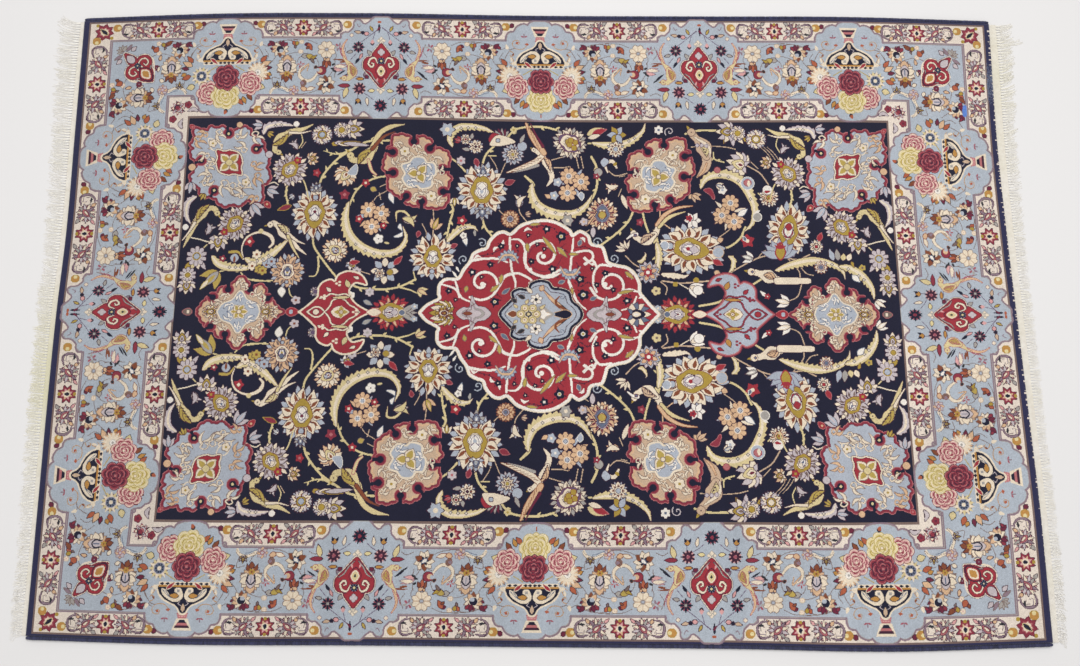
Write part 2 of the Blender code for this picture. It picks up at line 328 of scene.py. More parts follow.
def vine(points, wide, dye, leaves_every=0, size=5.0):
    """A thin stem, with small leaves to either side of it in turn."""
    ribbon(points, wide, dye)
    if leaves_every:
        line = curve(points)
        every = max(int(leaves_every / 1.5), 2)
        for k, here in enumerate(range(every, len(line) - 2, every)):
            way = line[here + 1] - line[here - 1]
            way = way / (abs(way) + 1e-9)
            side = 1 if k % 2 else -1
            leaf(line[here], line[here] + way * size * (0.7 + 0.75j * side), size * 0.45, dye)


def rose(at, radius, dye, line, light):
    """A full rose: curled petals, one ring in another, each with its turned lip."""
    for share, petals, size, turn in ((0.64, 7, 0.37, 0), (0.38, 5, 0.33, 0.5), (0.14, 3, 0.24, 0.2)):
        for petal in range(petals):
            way = np.exp(1j * FULL_TURN * (petal + turn) / petals)
            disc(at + radius * share * way, radius * size, dye, line, 0.8)
            arc = np.exp(1j * np.linspace(-1.2, 1.2, 7))
            ribbon(at + radius * way * (share + size * (0.86 * arc)), [0.6, 1.6, 0.6], light)
            ribbon(at + radius * way * (share + size * (0.7 * arc - 0.35)), [0.6, 2.2, 0.6], line)
    disc(at, radius * 0.1, light, line, 0.6)


def bird(points, dye, wing, wide, tail, edge=PLUM):
    """A small bird: its head, its back, its rump, and so on to the tip of its tail."""
    head, neck, body, rump = points[:4]
    way = (head - neck) / abs(head - neck) * wide
    leaf(head, head + 0.62 * way, wide * 0.24, GOLD)
    ribbon(points[2:], [wide * 0.9, wide * 0.7] + [tail] * (len(points) - 5) + [1.2], dye, edge, 0.8)
    ribbon([head, neck, body, rump], [wide * 0.55, wide * 0.5, wide * 1.15, wide * 0.5], dye, edge, 0.8)
    disc(head, wide * 0.29, dye, edge, 0.8)
    fill(curve([head, neck, body, neck + 0.3 * (body - head)]), dye)
    way = rump - body
    for reach, share in ((1.0, 0.62), (0.6, 0.36)):
        leaf(body - 0.45 * way, body + reach * way, wide * share, wing, edge, 0.12)
    for k in range(5):
        quill = body + (0.24 * k - 0.25) * way
        ribbon([quill - 0.1j * way, quill + (0.16 + 0.1j) * way], 0.7, edge)
    disc(head, 0.9, edge)


def leaves(rows, edge=PLUM):
    """One leaf after another: base, tip, width and dye of each, and its own edge where it differs."""
    for base, tip, wide, dye, *own in rows:
        leaf(base, tip, wide, dye, *(own or [edge]))


def each(stroke, *rows):
    """The same kind of stroke for one row of values after another."""
    for row in rows:
        stroke(*row)


def arabesque(at, way, dye, wide, edge):
    """A forked leaf of the scrolling kind, with a curl at its fork."""
    leaf(at, at + way, wide * 2.2, dye, edge, 0.22)
    leaf(at + 0.3 * way, at + way * (0.85 - 0.55j), wide * 1.7, dye, edge, -0.2)
    ribbon([at + 0.2 * way, at + way * (-0.12 + 0.1j), at + way * (-0.2 - 0.25j), at + way * (0.05 - 0.4j),
            at + way * (0.2 - 0.22j)], [wide, wide, wide * 0.8, wide * 0.8, wide], dye, edge, 0.5)


# The border: plain bands and lines from the rim inwards, each a frame of its own.
FRAMES = [                  # x and y of the outer side of each frame, and its dye
    (800, 532, EDGE_NAVY), (790, 528, BROWN), (787, 525, CREAM), (752, 492, MAUVE),
    (747.5, 487.5, BLUE), (648, 388, MAUVE), (643.5, 383.5, CREAM), (609, 349, BROWN),
    (606, 345, NAVY),
]
VASE_Y, PENDANT_X = 276, 279
MID_LONG, MID_SHORT = 437j, 698      # the middle of the border, from the cloth's middle


def rectangle(x, y):
    return [x + 1j * y, -x + 1j * y, -x - 1j * y, x - 1j * y]


for frame_x, frame_y, dye in FRAMES:
    fill(rectangle(frame_x, frame_y), dye)
for frame_x, frame_y in ((749.7, 489.7), (645.8, 385.8)):
    ribbon_z = rectangle(frame_x, frame_y)
    for start, end in zip(ribbon_z, ribbon_z[1:] + ribbon_z[:1]):
        ribbon([start, end], 1.0, GREY)


# Where the blue ground of a vase or pendant bulges into the guard bands.
VASE_BULGE = [88j, 10+88j, 17+85j, 21+80j, 25+82j, 31+82j, 39+78j, 43+72j, 46+68j, 53+67j, 57+63j, 58+56j,
    59+50j, 58-48j, 52-52j, 50-60j, 49-66j, 44-71j, 41-78j, 34-80j, 27-78j, 23-84j, 13-88j, -89j]
PENDANT_BULGE = [91j, 12+91j, 20+83j, 27+78j, 33+79j, 37+84j, 43+86j, 47+82j, 47+76j, 49+70j, 55+64j,
    58+62j, 65+62j, 69+57j, 70+50j]
PENDANT_BULGE = PENDANT_BULGE + [p.conjugate() for p in PENDANT_BULGE[::-1]]


def bulge(half):
    """A bulge of the blue ground, mirrored about the unit's middle, with its mauve line."""
    outline = np.array(half + [-p.conjugate() for p in half[::-1]])
    ribbon(outline, 6.5, MAUVE, closed=True)
    ribbon(outline, 1.0, GREY, closed=True)
    fill(outline, BLUE)


def vase_unit(end=False):
    """A footed bowl of roses, its foot towards the rug's edge."""
    for side in both_sides():
        for points, wide, dye in (([23+46j, 27+40j, 35+37j, 44+39j, 49+47j, 45+53j, 38+53j, 37+47j, 41+46j],
                1.1, AMBER), ([44+39j, 52+36j, 58+28j, 64+16j], 1.2, BROWN),
                ([54+34j, 48+31j, 47+26j, 51+24j, 54+27j], 1.0, AMBER),
                ([50+22j, 47+16j, 51+11j, 55+14j], 1.0, AMBER), ([52+36j, 58+38j], 1.0, BROWN)):
            ribbon(points, wide, dye)
        leaves([(57+36j, 60+46j, 6, IVORY, None), (20+46j, 27+47j, 4.5, ORANGE, None),
            (38+51j, 43+47j, 4, ORANGE, None), (28+59j, 22+62j, 2.8, ROSE_LINE, None),
            (28+59j, 28+67j, 2.8, MAUVE, None), (28+59j, 34+62j, 2.8, ROSE_LINE, None),
            (46+30j, 50+25j, 3, RUST, None), (50+14j, 52+24j, 4, IVORY, None), (59+8j, 69+19j, 7, ORANGE),
            (62-16j, 76-22j, 8, ORANGE), (70-12j, 78-16j, 6, AMBER), (60+1j, 76+9j, 9, PEACH),
            (54-34j, 67-38j, 10, STRAW), (22-58j, 31-68j, 7, ORANGE), (38-48j, 46-60j, 7, RUST),
            (30-54j, 36-66j, 6, AMBER), (66-4j, 78-2j, 6, WINE)], DARK_LEAF)
    # foot, neck and bowl
    for outline, dye in (((16+79j, 9+60j), IVORY), ((12.5+75j, 10.5+71j), PLUM), ((9.5+71j, 7.5+67j), PINK),
            ((7+67j, 3.5+62j), NAVY), ((7+60j, 9+51j), PINK)):
        top, foot = outline
        fill([top, foot, -foot.conjugate(), -top.conjugate()], dye)
    for stripe in (54, 57):
        ribbon([-7 + 1j * stripe, 7 + 1j * stripe], 0.8, ROSE)
    bowl = [52j, 4+51j, 7+45j, 12+39j, 21+35j, 31+30j, 38+23j, 41.5+15j, 42+10j]
    bowl = bowl + [-p.conjugate() for p in bowl[:0:-1]]
    paint(bowl, NAVY, IVORY, 2.6)
    for side in both_sides():
        shape([36+13j, 34+22j, 26+29j, 16+34j, 7+33j, 1.5+27j, 2+19j, 7+12j, 14+13j, 15+18j, 10+22j, 14+27j,
            22+24j, 27+17j], IVORY)
        leaf(8+25j, 23+24j, 7, AMBER, DARK_LEAF)
        disc(9+17j, 1.8, GREY, SLATE, 0.5)
        for points in ((35+14j, 27+23j, 19+28j), (30+16j, 22+26j)):
            ribbon(points, 0.8, SLATE)
        ribbon([3+40j, 8+37j, 5+33j], 0.8, LILAC)
    leaf(50j, 36j, 6, TAN)
    each(fill, (rectangle(41, 1.2) + np.array(9.6j), AMBER), (rectangle(41, 2.6) + np.array(5.8j), IVORY))
    for spot in (-35, -26, -10, -3, 4, 11, 27, 36):
        leaf(spot - 3.5 + 6j, spot + 3.5 + 6j, 3.6, NAVY)
    for side in both_sides():
        leaf(28+14j, 16+4j, 5, RED, IVORY)
        ribbon([16, 30-8j], 1.6, OCHRE)
        if end and side == 1:
            disc(43-17j, 14, BROWN)
            corolla(43-17j, 18, 14, [STRAW, IVORY], None, 0.27)
            disc(43-17j, 8.5, SLATE, LILAC)
            corolla(43-17j, 8, 9, [NAVY], None, 0.3)
            disc(43-17j, 3.5, IVORY, SLATE)
        else:
            disc(54-11j, 13, RUST)
            each(corolla, (54-11j, 18, 13, [PEACH], BROWN, 0.26, 0.24),
                (54-11j, 20, 13, [IVORY], None, 0.25))
            each(disc, (54-11j, 5, WHITE, GREY, 0.7), (54-11j, 1.8, GREY))
    each(rose, (29 - 47j if end else 42 - 30j, 21, ROSE, CRIMSON, IVORY),
        (-41-30j, 21, ROSE, CRIMSON, IVORY), (-52j, 25, YELLOW, OCHRE, IVORY),
        (-20j, 23, CRIMSON, PLUM, PINK))
    bud(-4-76j, -86j, ORANGE, DARK_LEAF)


def between_unit(full=True):
    """The flowers of the blue ground, from a vase towards the next pendant."""
    for points in ([62+42j, 75+36j, 90+44j, 108+48j, 122+45j], [80+5j, 88+16j, 90+24j, 88+36j],
            [100+15j, 112+22j, 130+26j, 146+20j], [86-34j, 84-20j, 96-22j], [70+30j, 76+20j, 72+8j]):
        vine(points, 1.1, BROWN)
    leaves([(85+38j, 77+46j, 8, WINE), (80+42j, 74+38j, 4, CRIMSON), (85+30j, 79+33j, 4, WINE)])
    corolla(96+31j, 15, 10, [IVORY, IVORY, WINE, WINE, IVORY, PEACH, PEACH, IVORY, RUST, PEACH], BROWN, 0.5,
        -0.3)
    each(disc, (96+31j, 6.4, NAVY, IVORY), (98+28j, 3.6, SKY))
    leaves([(102+46j, 98+36j, 6, WINE), (108+43j, 103+36j, 5, CRIMSON), (118+46j, 123+38j, 6, ORANGE),
        (126+46j, 124+38j, 6, GOLD), (121+38j, 123+33j, 3, BROWN)])
    for at in (132+27j, 133+45j):
        daisy(at, 3.6, IVORY, ROSE, 5, TAN)
    for side in (1, -1):
        for turn, reach, wide, dye in ((-1.2, 24, 8, RUST), (1.3, 22, 9, BROWN), (1.05, 19, 10, PEACH),
                (-0.85, 18, 9, PEACH), (-0.5, 19, 8, BROWN), (0.7, 18, 11, IVORY), (-0.3, 18, 12, IVORY),
                (0.25, 18, 12, IVORY)):
            ray = side * np.exp(1j * side * turn)
            leaf(109 - 2j + 3 * ray, 109 - 2j + reach * ray, wide, dye, PLUM if dye == RUST else BROWN)
    each(shape, ([109+20j, 116+12j, 112+6j, 106+6j, 102+12j], PEACH, BROWN),
        ([109+12j, 116+4j, 114-8j, 109-13j, 104-8j, 102+4j], LILAC, BROWN))
    each(ribbon, ([104-8j, 103+1j, 109+6j, 115+1j, 114-8j], 2.4, NAVY), ([109+3j, 109-5j], 1.6, SLATE))
    corolla(109-13j, 6, 6, [GOLD, AMBER], None, 0.6)
    disc(109-13j, 1.6, RUST)
    leaf(109-18j, 107-28j, 8, RUST, PLUM)
    vine([82-48j, 88-40j, 100-38j, 112-44j], 2.4, IVORY)
    each(ribbon, ([80-46j, 85-40j, 96-36j, 110-40j, 118-41j], [1, 4, 4, 3, 2], IVORY, BROWN, 0.6),
        ([96-41j, 104-43j, 112-46j, 120-46j], 0.8, SLATE))
    half_lotus(93-36j, 93-26j, OCHRE, GREY, GOLD, BROWN, 5)
    corolla(122-42j, 9, 8, [PEACH, LILAC], MAUVE, 0.6)
    disc(122-42j, 2.4, LILAC, ROSE_LINE)
    if not full:
        return
    for points in ([108+48j, 120+49j, 145+48j, 160+42j], [104-28j, 110-38j, 128-48j, 150-46j, 165-40j],
            [191+14j, 193-2j, 192-18j], [164-16j, 178-20j, 190-6j], [160+14j, 164+4j, 162-2j],
            [196-44j, 206-40j, 214-44j], [186+30j, 194+22j, 192+12j], [126+8j, 130+16j, 138+18j],
            [204+20j, 210+30j, 206+42j]):
        vine(points, 1.1, BROWN)
    leaves([(141+43j, 144+37j, 7, WINE), (144+42j, 151+30j, 8, ORANGE), (146+36j, 141+32j, 4, RUST),
        (134+18j, 148+21j, 8, GREY), (142+20j, 158+14j, 9, OCHRE), (148+12j, 160+20j, 5, GOLD),
        (150+14j, 156+6j, 4, BROWN)])
    corolla(133+3j, 7, 5, [PINK, RED], None, 0.36, 0.4)
    daisy(177+31j, 15.5, IVORY, SKY, 8, BROWN, GREY, share=0.16)
    for arm in range(8):
        ribbon([177 + 31j + 4 * np.exp(0.785j * arm), 177 + 31j + 13 * np.exp(0.785j * arm)], 0.7, TAN)
    corolla(198+36j, 9, 6, [GREY, MAUVE, ROSE_LINE], None, 0.4, 0.2)
    leaves([(173+15j, 179+8j, 7, PEACH), (182+15j, 176+8j, 7, PEACH), (174+11j, 171+1j, 5, RUST),
        (178+10j, 177-3j, 6, ORANGE), (181+10j, 184+1j, 5, RUST)])
    each(ribbon, ([140+2j, 132-5j, 131-16j, 137-23j, 148-25j, 157-19j, 163-9j, 164-3j],
        [1, 3, 5, 5, 5, 4, 3, 1], IVORY, BROWN, 0.6), ([132-10j, 138-4j, 146+4j, 144-8j], [1, 2, 2, 1],
        PEACH, BROWN, 0.5))
    each(disc, (169-7j, 7.5, CRIMSON, PLUM), (166-7j, 4.6, PEACH, CRIMSON, 1.4), (163-6j, 3, BLUE))
    leaves([(161, 156-3j, 4, DARK_LEAF), (140-24j, 136-36j, 9, BROWN), (133-28j, 140-30j, 6, MAUVE),
        (134-38j, 146-41j, 7, PEACH), (144-41j, 158-37j, 6, IVORY)], RUST)
    each(corolla, (177-31j, 16, 9, [IVORY, IVORY, RUST], BROWN, 0.55, 0.3),
        (177-31j, 8, 6, [NAVY], None, 0.5))
    leaves([(173-34j, 181-28j, 5, WHITE, SLATE), (190-2j, 210+4j, 7, ROSE, MAUVE),
        (192+1j, 212, 6, IVORY, MAUVE), (190-5j, 206-6j, 5, ROSE, MAUVE), (186+2j, 193+6j, 4, DARK_LEAF),
        (184-3j, 192-4j, 3, DARK_LEAF), (187-5j, 196-10j, 4, DARK_LEAF), (200+8j, 214+10j, 4, RUST),
        (201-22j, 219-9j, 3, DARK_LEAF)], None)


def pendant_unit():
    """A red medallion with finials, two long-tailed birds and dark flowers."""
    for side in both_sides():
        ribbon([2+72j, 12+64j, 28+51j, 38+44j], [2, 1.4, 1, 0.8], VIOLET)
        for points in ((11+64j, 15+50j), (18+60j, 26+62j), (34-18j, 52-18j, 60-24j), (44+24j, 54+12j),
                (12-58j, 22-50j, 33-44j), (39-48j, 40-56j)):
            ribbon(points, 0.8, VIOLET)
        each(aster, (40+36j, 12, NAVY, ROSE_LINE, GREY), (37-38j, 12.5, PLUM, ROSE, ROSE_LINE, 9))
        bud(16+39j, 15+50j, ROSE, NAVY)
        leaves([(22+61j, 31+61j, 7, ROSE), (30+62j, 36+64j, 5, NAVY), (36+63j, 47+65j, 5, TAN),
            (15+66j, 20+75j, 4, OCHRE), (33+24j, 38+14j, 4, ROSE), (50+28j, 60+26j, 5, GREY),
            (54-33j, 74-33j, 7, CRIMSON), (58-36j, 64-55j, 8, STRAW), (30-21j, 43-21j, 5, AMBER),
            (11-41j, 22-42j, 6, YELLOW), (24-54j, 22-68j, 5, IVORY), (28-15j, 22-20j, 6, WINE),
            (24-8j, 30-16j, 5, MAUVE), (18+22j, 24+30j, 6, GREY), (38-56j, 40-64j, 8, AMBER),
            (38+16j, 46+5j, 5, NAVY, None), (62-6j, 78-16j, 3, NAVY, None), (36-60j, 33-67j, 4, NAVY, None),
            (41-60j, 44-67j, 4, NAVY, None)])
        each(ribbon, ([62+13j, 67+28j, 66+40j, 60+50j], [4, 4, 3, 1], PEACH, ROSE_LINE, 0.7),
            ([64+14j, 70+24j, 74+38j], [3, 2, 1], ROSE_LINE), ([64+12j, 76+13j, 84+12j], [2, 3, 1], RUST))
        bird([64-20j, 56-20j, 50-10j, 54+2j, 64+14j, 66+20j], STRAW, OCHRE, 15, 4, ROSE_LINE)
        disc(52+58j, 2.8, IVORY, MAUVE)
        ribbon([43+80j, 40+74j, 36+76j], 1.4, MAUVE)
    aster(-68j, 13, NAVY, ROSE_LINE, CRIMSON, 9)
    leaves([(83j, 8+83j, 5, ORANGE), (4+80j, 4+62j, 5, NAVY), (2+74j, 8+66j, 4, WINE)], None)
    for at in (48j, -40j):
        fan(at, 0, 7, 0, FULL_TURN / 4, 4, 6, [IVORY], GREY)
    half = [42j, 7+34j, 14+25j, 15+21j, 10+19j, 17+18j, 25+16j, 30+9j, 30-1j, 25-8j, 18-15j, 9-26j, -35j]
    outline = half + [-p.conjugate() for p in half[-2:0:-1]]
    for wide, dye in ((7.2, SLATE), (5.6, IVORY), (3.2, WINE)):
        ribbon(outline, wide, dye, closed=True)
    fill(curve(outline, True), RED)
    for side in both_sides():
        each(ribbon, ([6+6j, 11+16j, 19+14j, 22+5j, 16, 13+5j, 16+7j], [1.2, 2, 3, 3, 3, 3, 2], IVORY, PLUM,
            0.8), ([26-5j, 18-10j, 12-20j, 3-30j], [1, 1.6, 1.6, 1], GREY, PLUM, 0.6))
        leaf(8-26j, 5-18j, 3, ROSE)
    for arm in range(4):
        disc(0 + 27j + 3.6 * 1j ** arm, 3, LILAC, PLUM, 0.6)
    disc(27j, 3.4, LILAC)
    aster(11j, 8, NAVY, SLATE, STRAW)
    for size, dye in ((14, PLUM), (12.6, RED), (9.6, IVORY), (7, STRAW)):
        shape([0.72 * size - 7j, 1j * size - 7j, -0.72 * size - 7j, -1j * size - 7j], dye)
    leaf(-10j, -4j, 3.4, DARK_LEAF)


def guard_unit(reach=1.0, sign=1):
    """The flowers of a cream guard band, from a vase bulge to the next."""
    for at, kind in ((47, "bud"), (59, "gold"), (74, "scroll"), (99, "palmette"), (134, "star"),
            (169, "palmette"), (194, "scroll"), (213, "gold")):
        x = at * reach
        way = 1 if at < 134 else -1
        if kind == "bud":
            leaf(x - 2 + 11j * sign, x + 5 + 5j * sign, 7, WINE, PLUM)
        elif kind == "gold":
            each(disc, (x + 6j * sign, 6.5, AMBER, GOLD), (x + 3 * way + 6j * sign, 3.4, YELLOW))
        elif kind == "scroll":
            each(ribbon, ([x + 11 * way + 10j * sign, x - way + 12j * sign, x - 7 * way + 5j * sign,
                x - 7 * way - 5j * sign, x - 12j * sign, x + 9 * way - 13j * sign],
                [1, 3, 4, 3, 2, 1], MAUVE, PLUM, 0.7), ([x + 4 * way - 4j * sign, x - 3 * way - 6j * sign,
                x - 2 * way + 2j * sign], 1.0, PLUM), ([x - 6 * way + 8j * sign, x - 2 * way + 13j * sign,
                x + 5 * way + 14j * sign], [1, 1.6, 1], PLUM), ([x - 3 * way + 8j * sign,
                x + 6 * way + 7j * sign, x + 5 * way + 2j * sign], [2.4, 1.6, 1], IVORY, VIOLET, 0.4))
            leaves([(x - 3 - 7j * sign, x + 8 - 6j * sign, 4, DARK_LEAF),
                (x + 3 * way - 14j * sign, x + 4 * way - 18j * sign, 3, MAUVE)], None)
        elif kind == "palmette":
            each(corolla, (x, 14, 11, [ROSE], PLUM, 0.36, 0.3), (x, 16.5, 11,
                [LILAC, IVORY, MAUVE, IVORY, GREY], PLUM, 0.26))
            disc(x, 6.5, MAUVE, PLUM, 0.7)
            leaves([(x - 6 * way + 6j * sign, x + 6 * way - 5j * sign, 7, PINK, WINE),
                (x - 4 * way + 3j * sign, x + 3 * way - 3j * sign, 3.4, IVORY, WINE),
                (x + 10 * way + 11j * sign, x + 17 * way + 16j * sign, 5, GREY),
                (x - 12 * way - 8j * sign, x - 17 * way - 15j * sign, 5, PEACH),
                (x + 12 * way - 9j * sign, x + 19 * way - 15j * sign, 4, ROSE)])
        else:
            star(x, 15, CRIMSON, NAVY, 8, PLUM, 0.39, 0.34)
            fan(x, 0, 10.5, 0.39, 0.785, 8, 4.5, [ROSE, PEACH])
            disc(x, 5.6, IVORY)
            leaf(x - 4.5j, x + 4.5j, 6, NAVY)
            for side in (12.5j, -12.5j):
                disc(x + side, 3, GOLD)


def corner_unit():
    """The corner's red medallion, set on the slant, its flowers round it."""
    outline = [27+27j, 23+15j, 19+8j, 13+5j, 20+2j, 23-7j, 20-16j, 11-20j, 2-19j, -4-22j, -13-24j, -21-24j,
        -24-24j]
    outline = outline + [p.conjugate() * 1j for p in outline[-2:0:-1]]
    for wide, dye in ((7, SLATE), (5.4, IVORY), (3, WINE)):
        ribbon(outline, wide, dye, closed=True)
    fill(curve(outline, True), RED)
    held = dict(pen)
    for side in (0, 1):
        each(ribbon, ([2-4j, 8+2j, 16-2j, 17-10j, 10-14j, 5-10j, 9-6j], [1.6, 1.6, 2.2, 2.2, 2.2, 2.2, 1.4],
            IVORY, PLUM, 0.8), ([-22-21j, -8-19j, 4-18j], [1, 1.8, 1], GREY, PLUM, 0.6),
            ([-14-27j, -25j, 14-23j, 24-14j], [1, 2.4, 2.4, 1], IVORY))
        daisy(-29-1j, 4.5, WINE, MAUVE, 4, WINE)
        leaves([(-36-22j, -44-26j, 6, IVORY), (16+32j, 8+40j, 7, LILAC), (28-24j, 38-30j, 9, ORANGE),
            (34-22j, 40-20j, 5, RUST), (40-44j, 48-54j, 7, RUST), (12-34j, 22-36j, 5, PEACH),
            (-8-32j, 2-34j, 4, IVORY), (24+32j, 16+44j, 5, MAUVE, BROWN)])
        pen.update(turn=pen["turn"] * 1j, flip=not pen["flip"])
    pen.update(held)
    for size, dye in ((1.2, PLUM), (1, RED), (0.8, IVORY), (0.55, AMBER)):
        shape([-11 - 11j + size * p for p in (9+9j, -7+7j, -10-10j, 7-7j)], dye)
    shape([23+23j, 11+20j, 10+10j, 20+11j], LILAC, PLUM)
    aster(4+4j, 7, NAVY, SLATE, STRAW)
    fan(30+32j, 0, 11, -0.4, 0.6, 5, 5, [GREY], BROWN)


# One quarter of the border is drawn, the one where x and y are more than 0.
vases = [(547 + MID_LONG, 1, False), (0 + MID_LONG, 1, False), (MID_SHORT + 1j * VASE_Y, 1j, True)]
pendants = [(PENDANT_X + MID_LONG, 1, False), (MID_SHORT + 0j, 1j, True)]
for units, half in ((vases, VASE_BULGE), (pendants, PENDANT_BULGE)):
    for at, turn, flip in units:
        hold_pen(at, turn, flip)
        bulge(half)
hold_pen()
fill([388j, 487.5j, 747.5+487.5j, 747.5, 648, 648+388j], BLUE)
for x, way, outer, inner in ((0, 1, 1.02, 1.0), (547, -1, 0.98, 0.97), (547, 1, 0.91, None)):
    for band, reach in ((509, outer), (366, inner)):
        if reach:
            hold_pen(x + 1j * band, way, way < 0)
            guard_unit(reach, 1 if band == 509 else -1)
for way, outer, inner in ((1, 1.01, None), (-1, 1.0, 1.0)):
    for band, reach in ((769, outer), (626, inner)):
        if reach:
            hold_pen(band + 1j * VASE_Y, 1j * way, way > 0)
            guard_unit(reach, 1 if band == 769 else -1)
hold_pen(763+508j)
for at in (-13-12j, 12+13j):
    disc(at, 3.4, GOLD)
for radius, dye in ((17.5, WINE), (15.5, CRIMSON), (10, PINK), (8, IVORY)):
    star(0, radius, dye, dye, 8, None, 0.2)
leaf(-6-5j, 7+6j, 6, NAVY, STRAW)
hold_pen(626+366j)
for at in (-16+4j, 9-22j):
    daisy(at, 6, CRIMSON, WINE, 5, WINE, share=0.4)
each(corolla, (1-2j, 15, 11, [MAUVE, LILAC, PLUM, GREY], None, 0.24, 0.2),
    (1-2j, 11, 8, [IVORY, LILAC], CRIMSON, 0.5))
palmette(2-1j, -4-7j, [LILAC, PINK, CRIMSON], 7)
for base, way, bend in ((-34-8j, 18, 0.2), (-8-40j, 18j, -0.2)):
    leaves([(base, base + way, 7, LILAC, PLUM, bend), (base + 0.25 * way, base + 0.8 * way, 1.6, PLUM,
        None)])
for at, turn, flip in vases:
    for way in (1, -1):
        full = way == -1 or not (at.real > 600 or (at.real > 500 and at.imag > 400))
        back = 4.5 if full else 0 if at.imag < 400 else 13
        hold_pen(at - back * turn * way, turn * way, flip != (way < 0))
        between_unit(full)
for k, (at, turn, flip) in enumerate(vases):
    hold_pen(at, turn, flip)
    vase_unit(end=k != 1)
for at, turn, flip in pendants:
    hold_pen(at, turn, flip)
    pendant_unit()
hold_pen(698+438j)
corner_unit()
hold_pen()
# its other three quarters are folded over from this one
chart[MID_ROW:, :MID_COLUMN] = chart[MID_ROW:, MID_COLUMN:][:, ::-1]
chart[:MID_ROW] = chart[MID_ROW:][::-1]


# The field is drawn for its far half, and turned over for the near half. Its pens come first.
def curl(at, radius, turns, dye, wide, start):
    """A spiral of vine, from its heart outwards."""
    share = np.linspace(0.12, 1, 14)
    ribbon(at + radius * share * np.exp(1j * (start + FULL_TURN * turns * share)), wide, dye)


def bloom(at, radius, dye, heart, petals=8, edge=PLUM, ring=None, turn=0, share=0.3):
    """An open flower of pointed petals, each with a vein, and darker ones behind."""
    behind = {LILAC: SKY, IVORY: SKY, PEACH: BROWN, SKY: LILAC}.get(dye, GREY)
    corolla(at, radius * 1.02, petals, [behind], edge, 0.36, turn + np.pi / petals)
    corolla(at, radius, petals, [dye, IVORY if dye == LILAC else dye], edge, 0.52, turn)
    corolla(at, radius * 0.82, petals, [IVORY if dye == LILAC else RUST, RUST], None, 0.15, turn)
    disc(at, radius * (share + 0.16), ring if ring is not None else dye, edge)
    disc(at, radius * share, heart, edge, 0.7)


def notch(at, way, radius, dot):
    """A round bay that the field cuts into a panel, open outwards, with a pearl in it."""
    way = way / abs(way)
    around = np.exp(1j * np.linspace(0.5, FULL_TURN - 0.5, 20))
    for reach, wide, dye in ((2.6, 4.4, PINK), (2.2, 3.2, CRIMSON), (0.4, 1.0, WINE)):
        ribbon(at + way * (radius + reach) * around, wide, dye)
    gap = 0.3 if dot is not None else 0.5
    mouth = [at + way * (1j * gap * radius), at + way * (radius + 7 + 0.5j * radius)]
    fill(mouth + [p - 2j * way * ((p - at) / way).imag for p in mouth[::-1]], NAVY)
    disc(at, radius, NAVY)
    if dot is not None:
        disc(at - 0.5 * way, radius * 0.42, dot)


def cartouche(points, ground, shade, notches, radius, dot=STRAW):
    """A lobed panel, its crimson outline drawn with a pink line and a dark one."""
    path = curve(points, closed=True)
    middle = path.mean()
    way_round = np.cumsum(np.abs(np.diff(path, append=path[0])))
    lobes = round(way_round[-1] / 13)
    swell = np.abs(np.sin(np.pi * lobes * way_round / way_round[-1])) - 0.5
    path = path + 2.4 * swell * np.exp(1j * np.angle(path - middle))
    for wide, dye in ((7.0, PINK), (4.8, CRIMSON)):
        ribbon(path, wide, dye, closed=True)
    fill(path, ground)
    ribbon(middle + (path - middle) * 0.93, 3.0, shade, closed=True)
    ribbon(path, 3.0, CRIMSON, closed=True)
    ribbon(middle + (path - middle) * 0.982, 0.9, WINE, closed=True)
    for at, way in notches:
        notch(at, way, radius, dot)


def flame(at, way, dye, heart, size):
    """A small pointed finial."""
    side = 0.6j * way * size
    shape([at - way * size * 0.7, at + side, at + way * size, at - side], dye, PINK)
    disc(at, size * 0.26, heart)


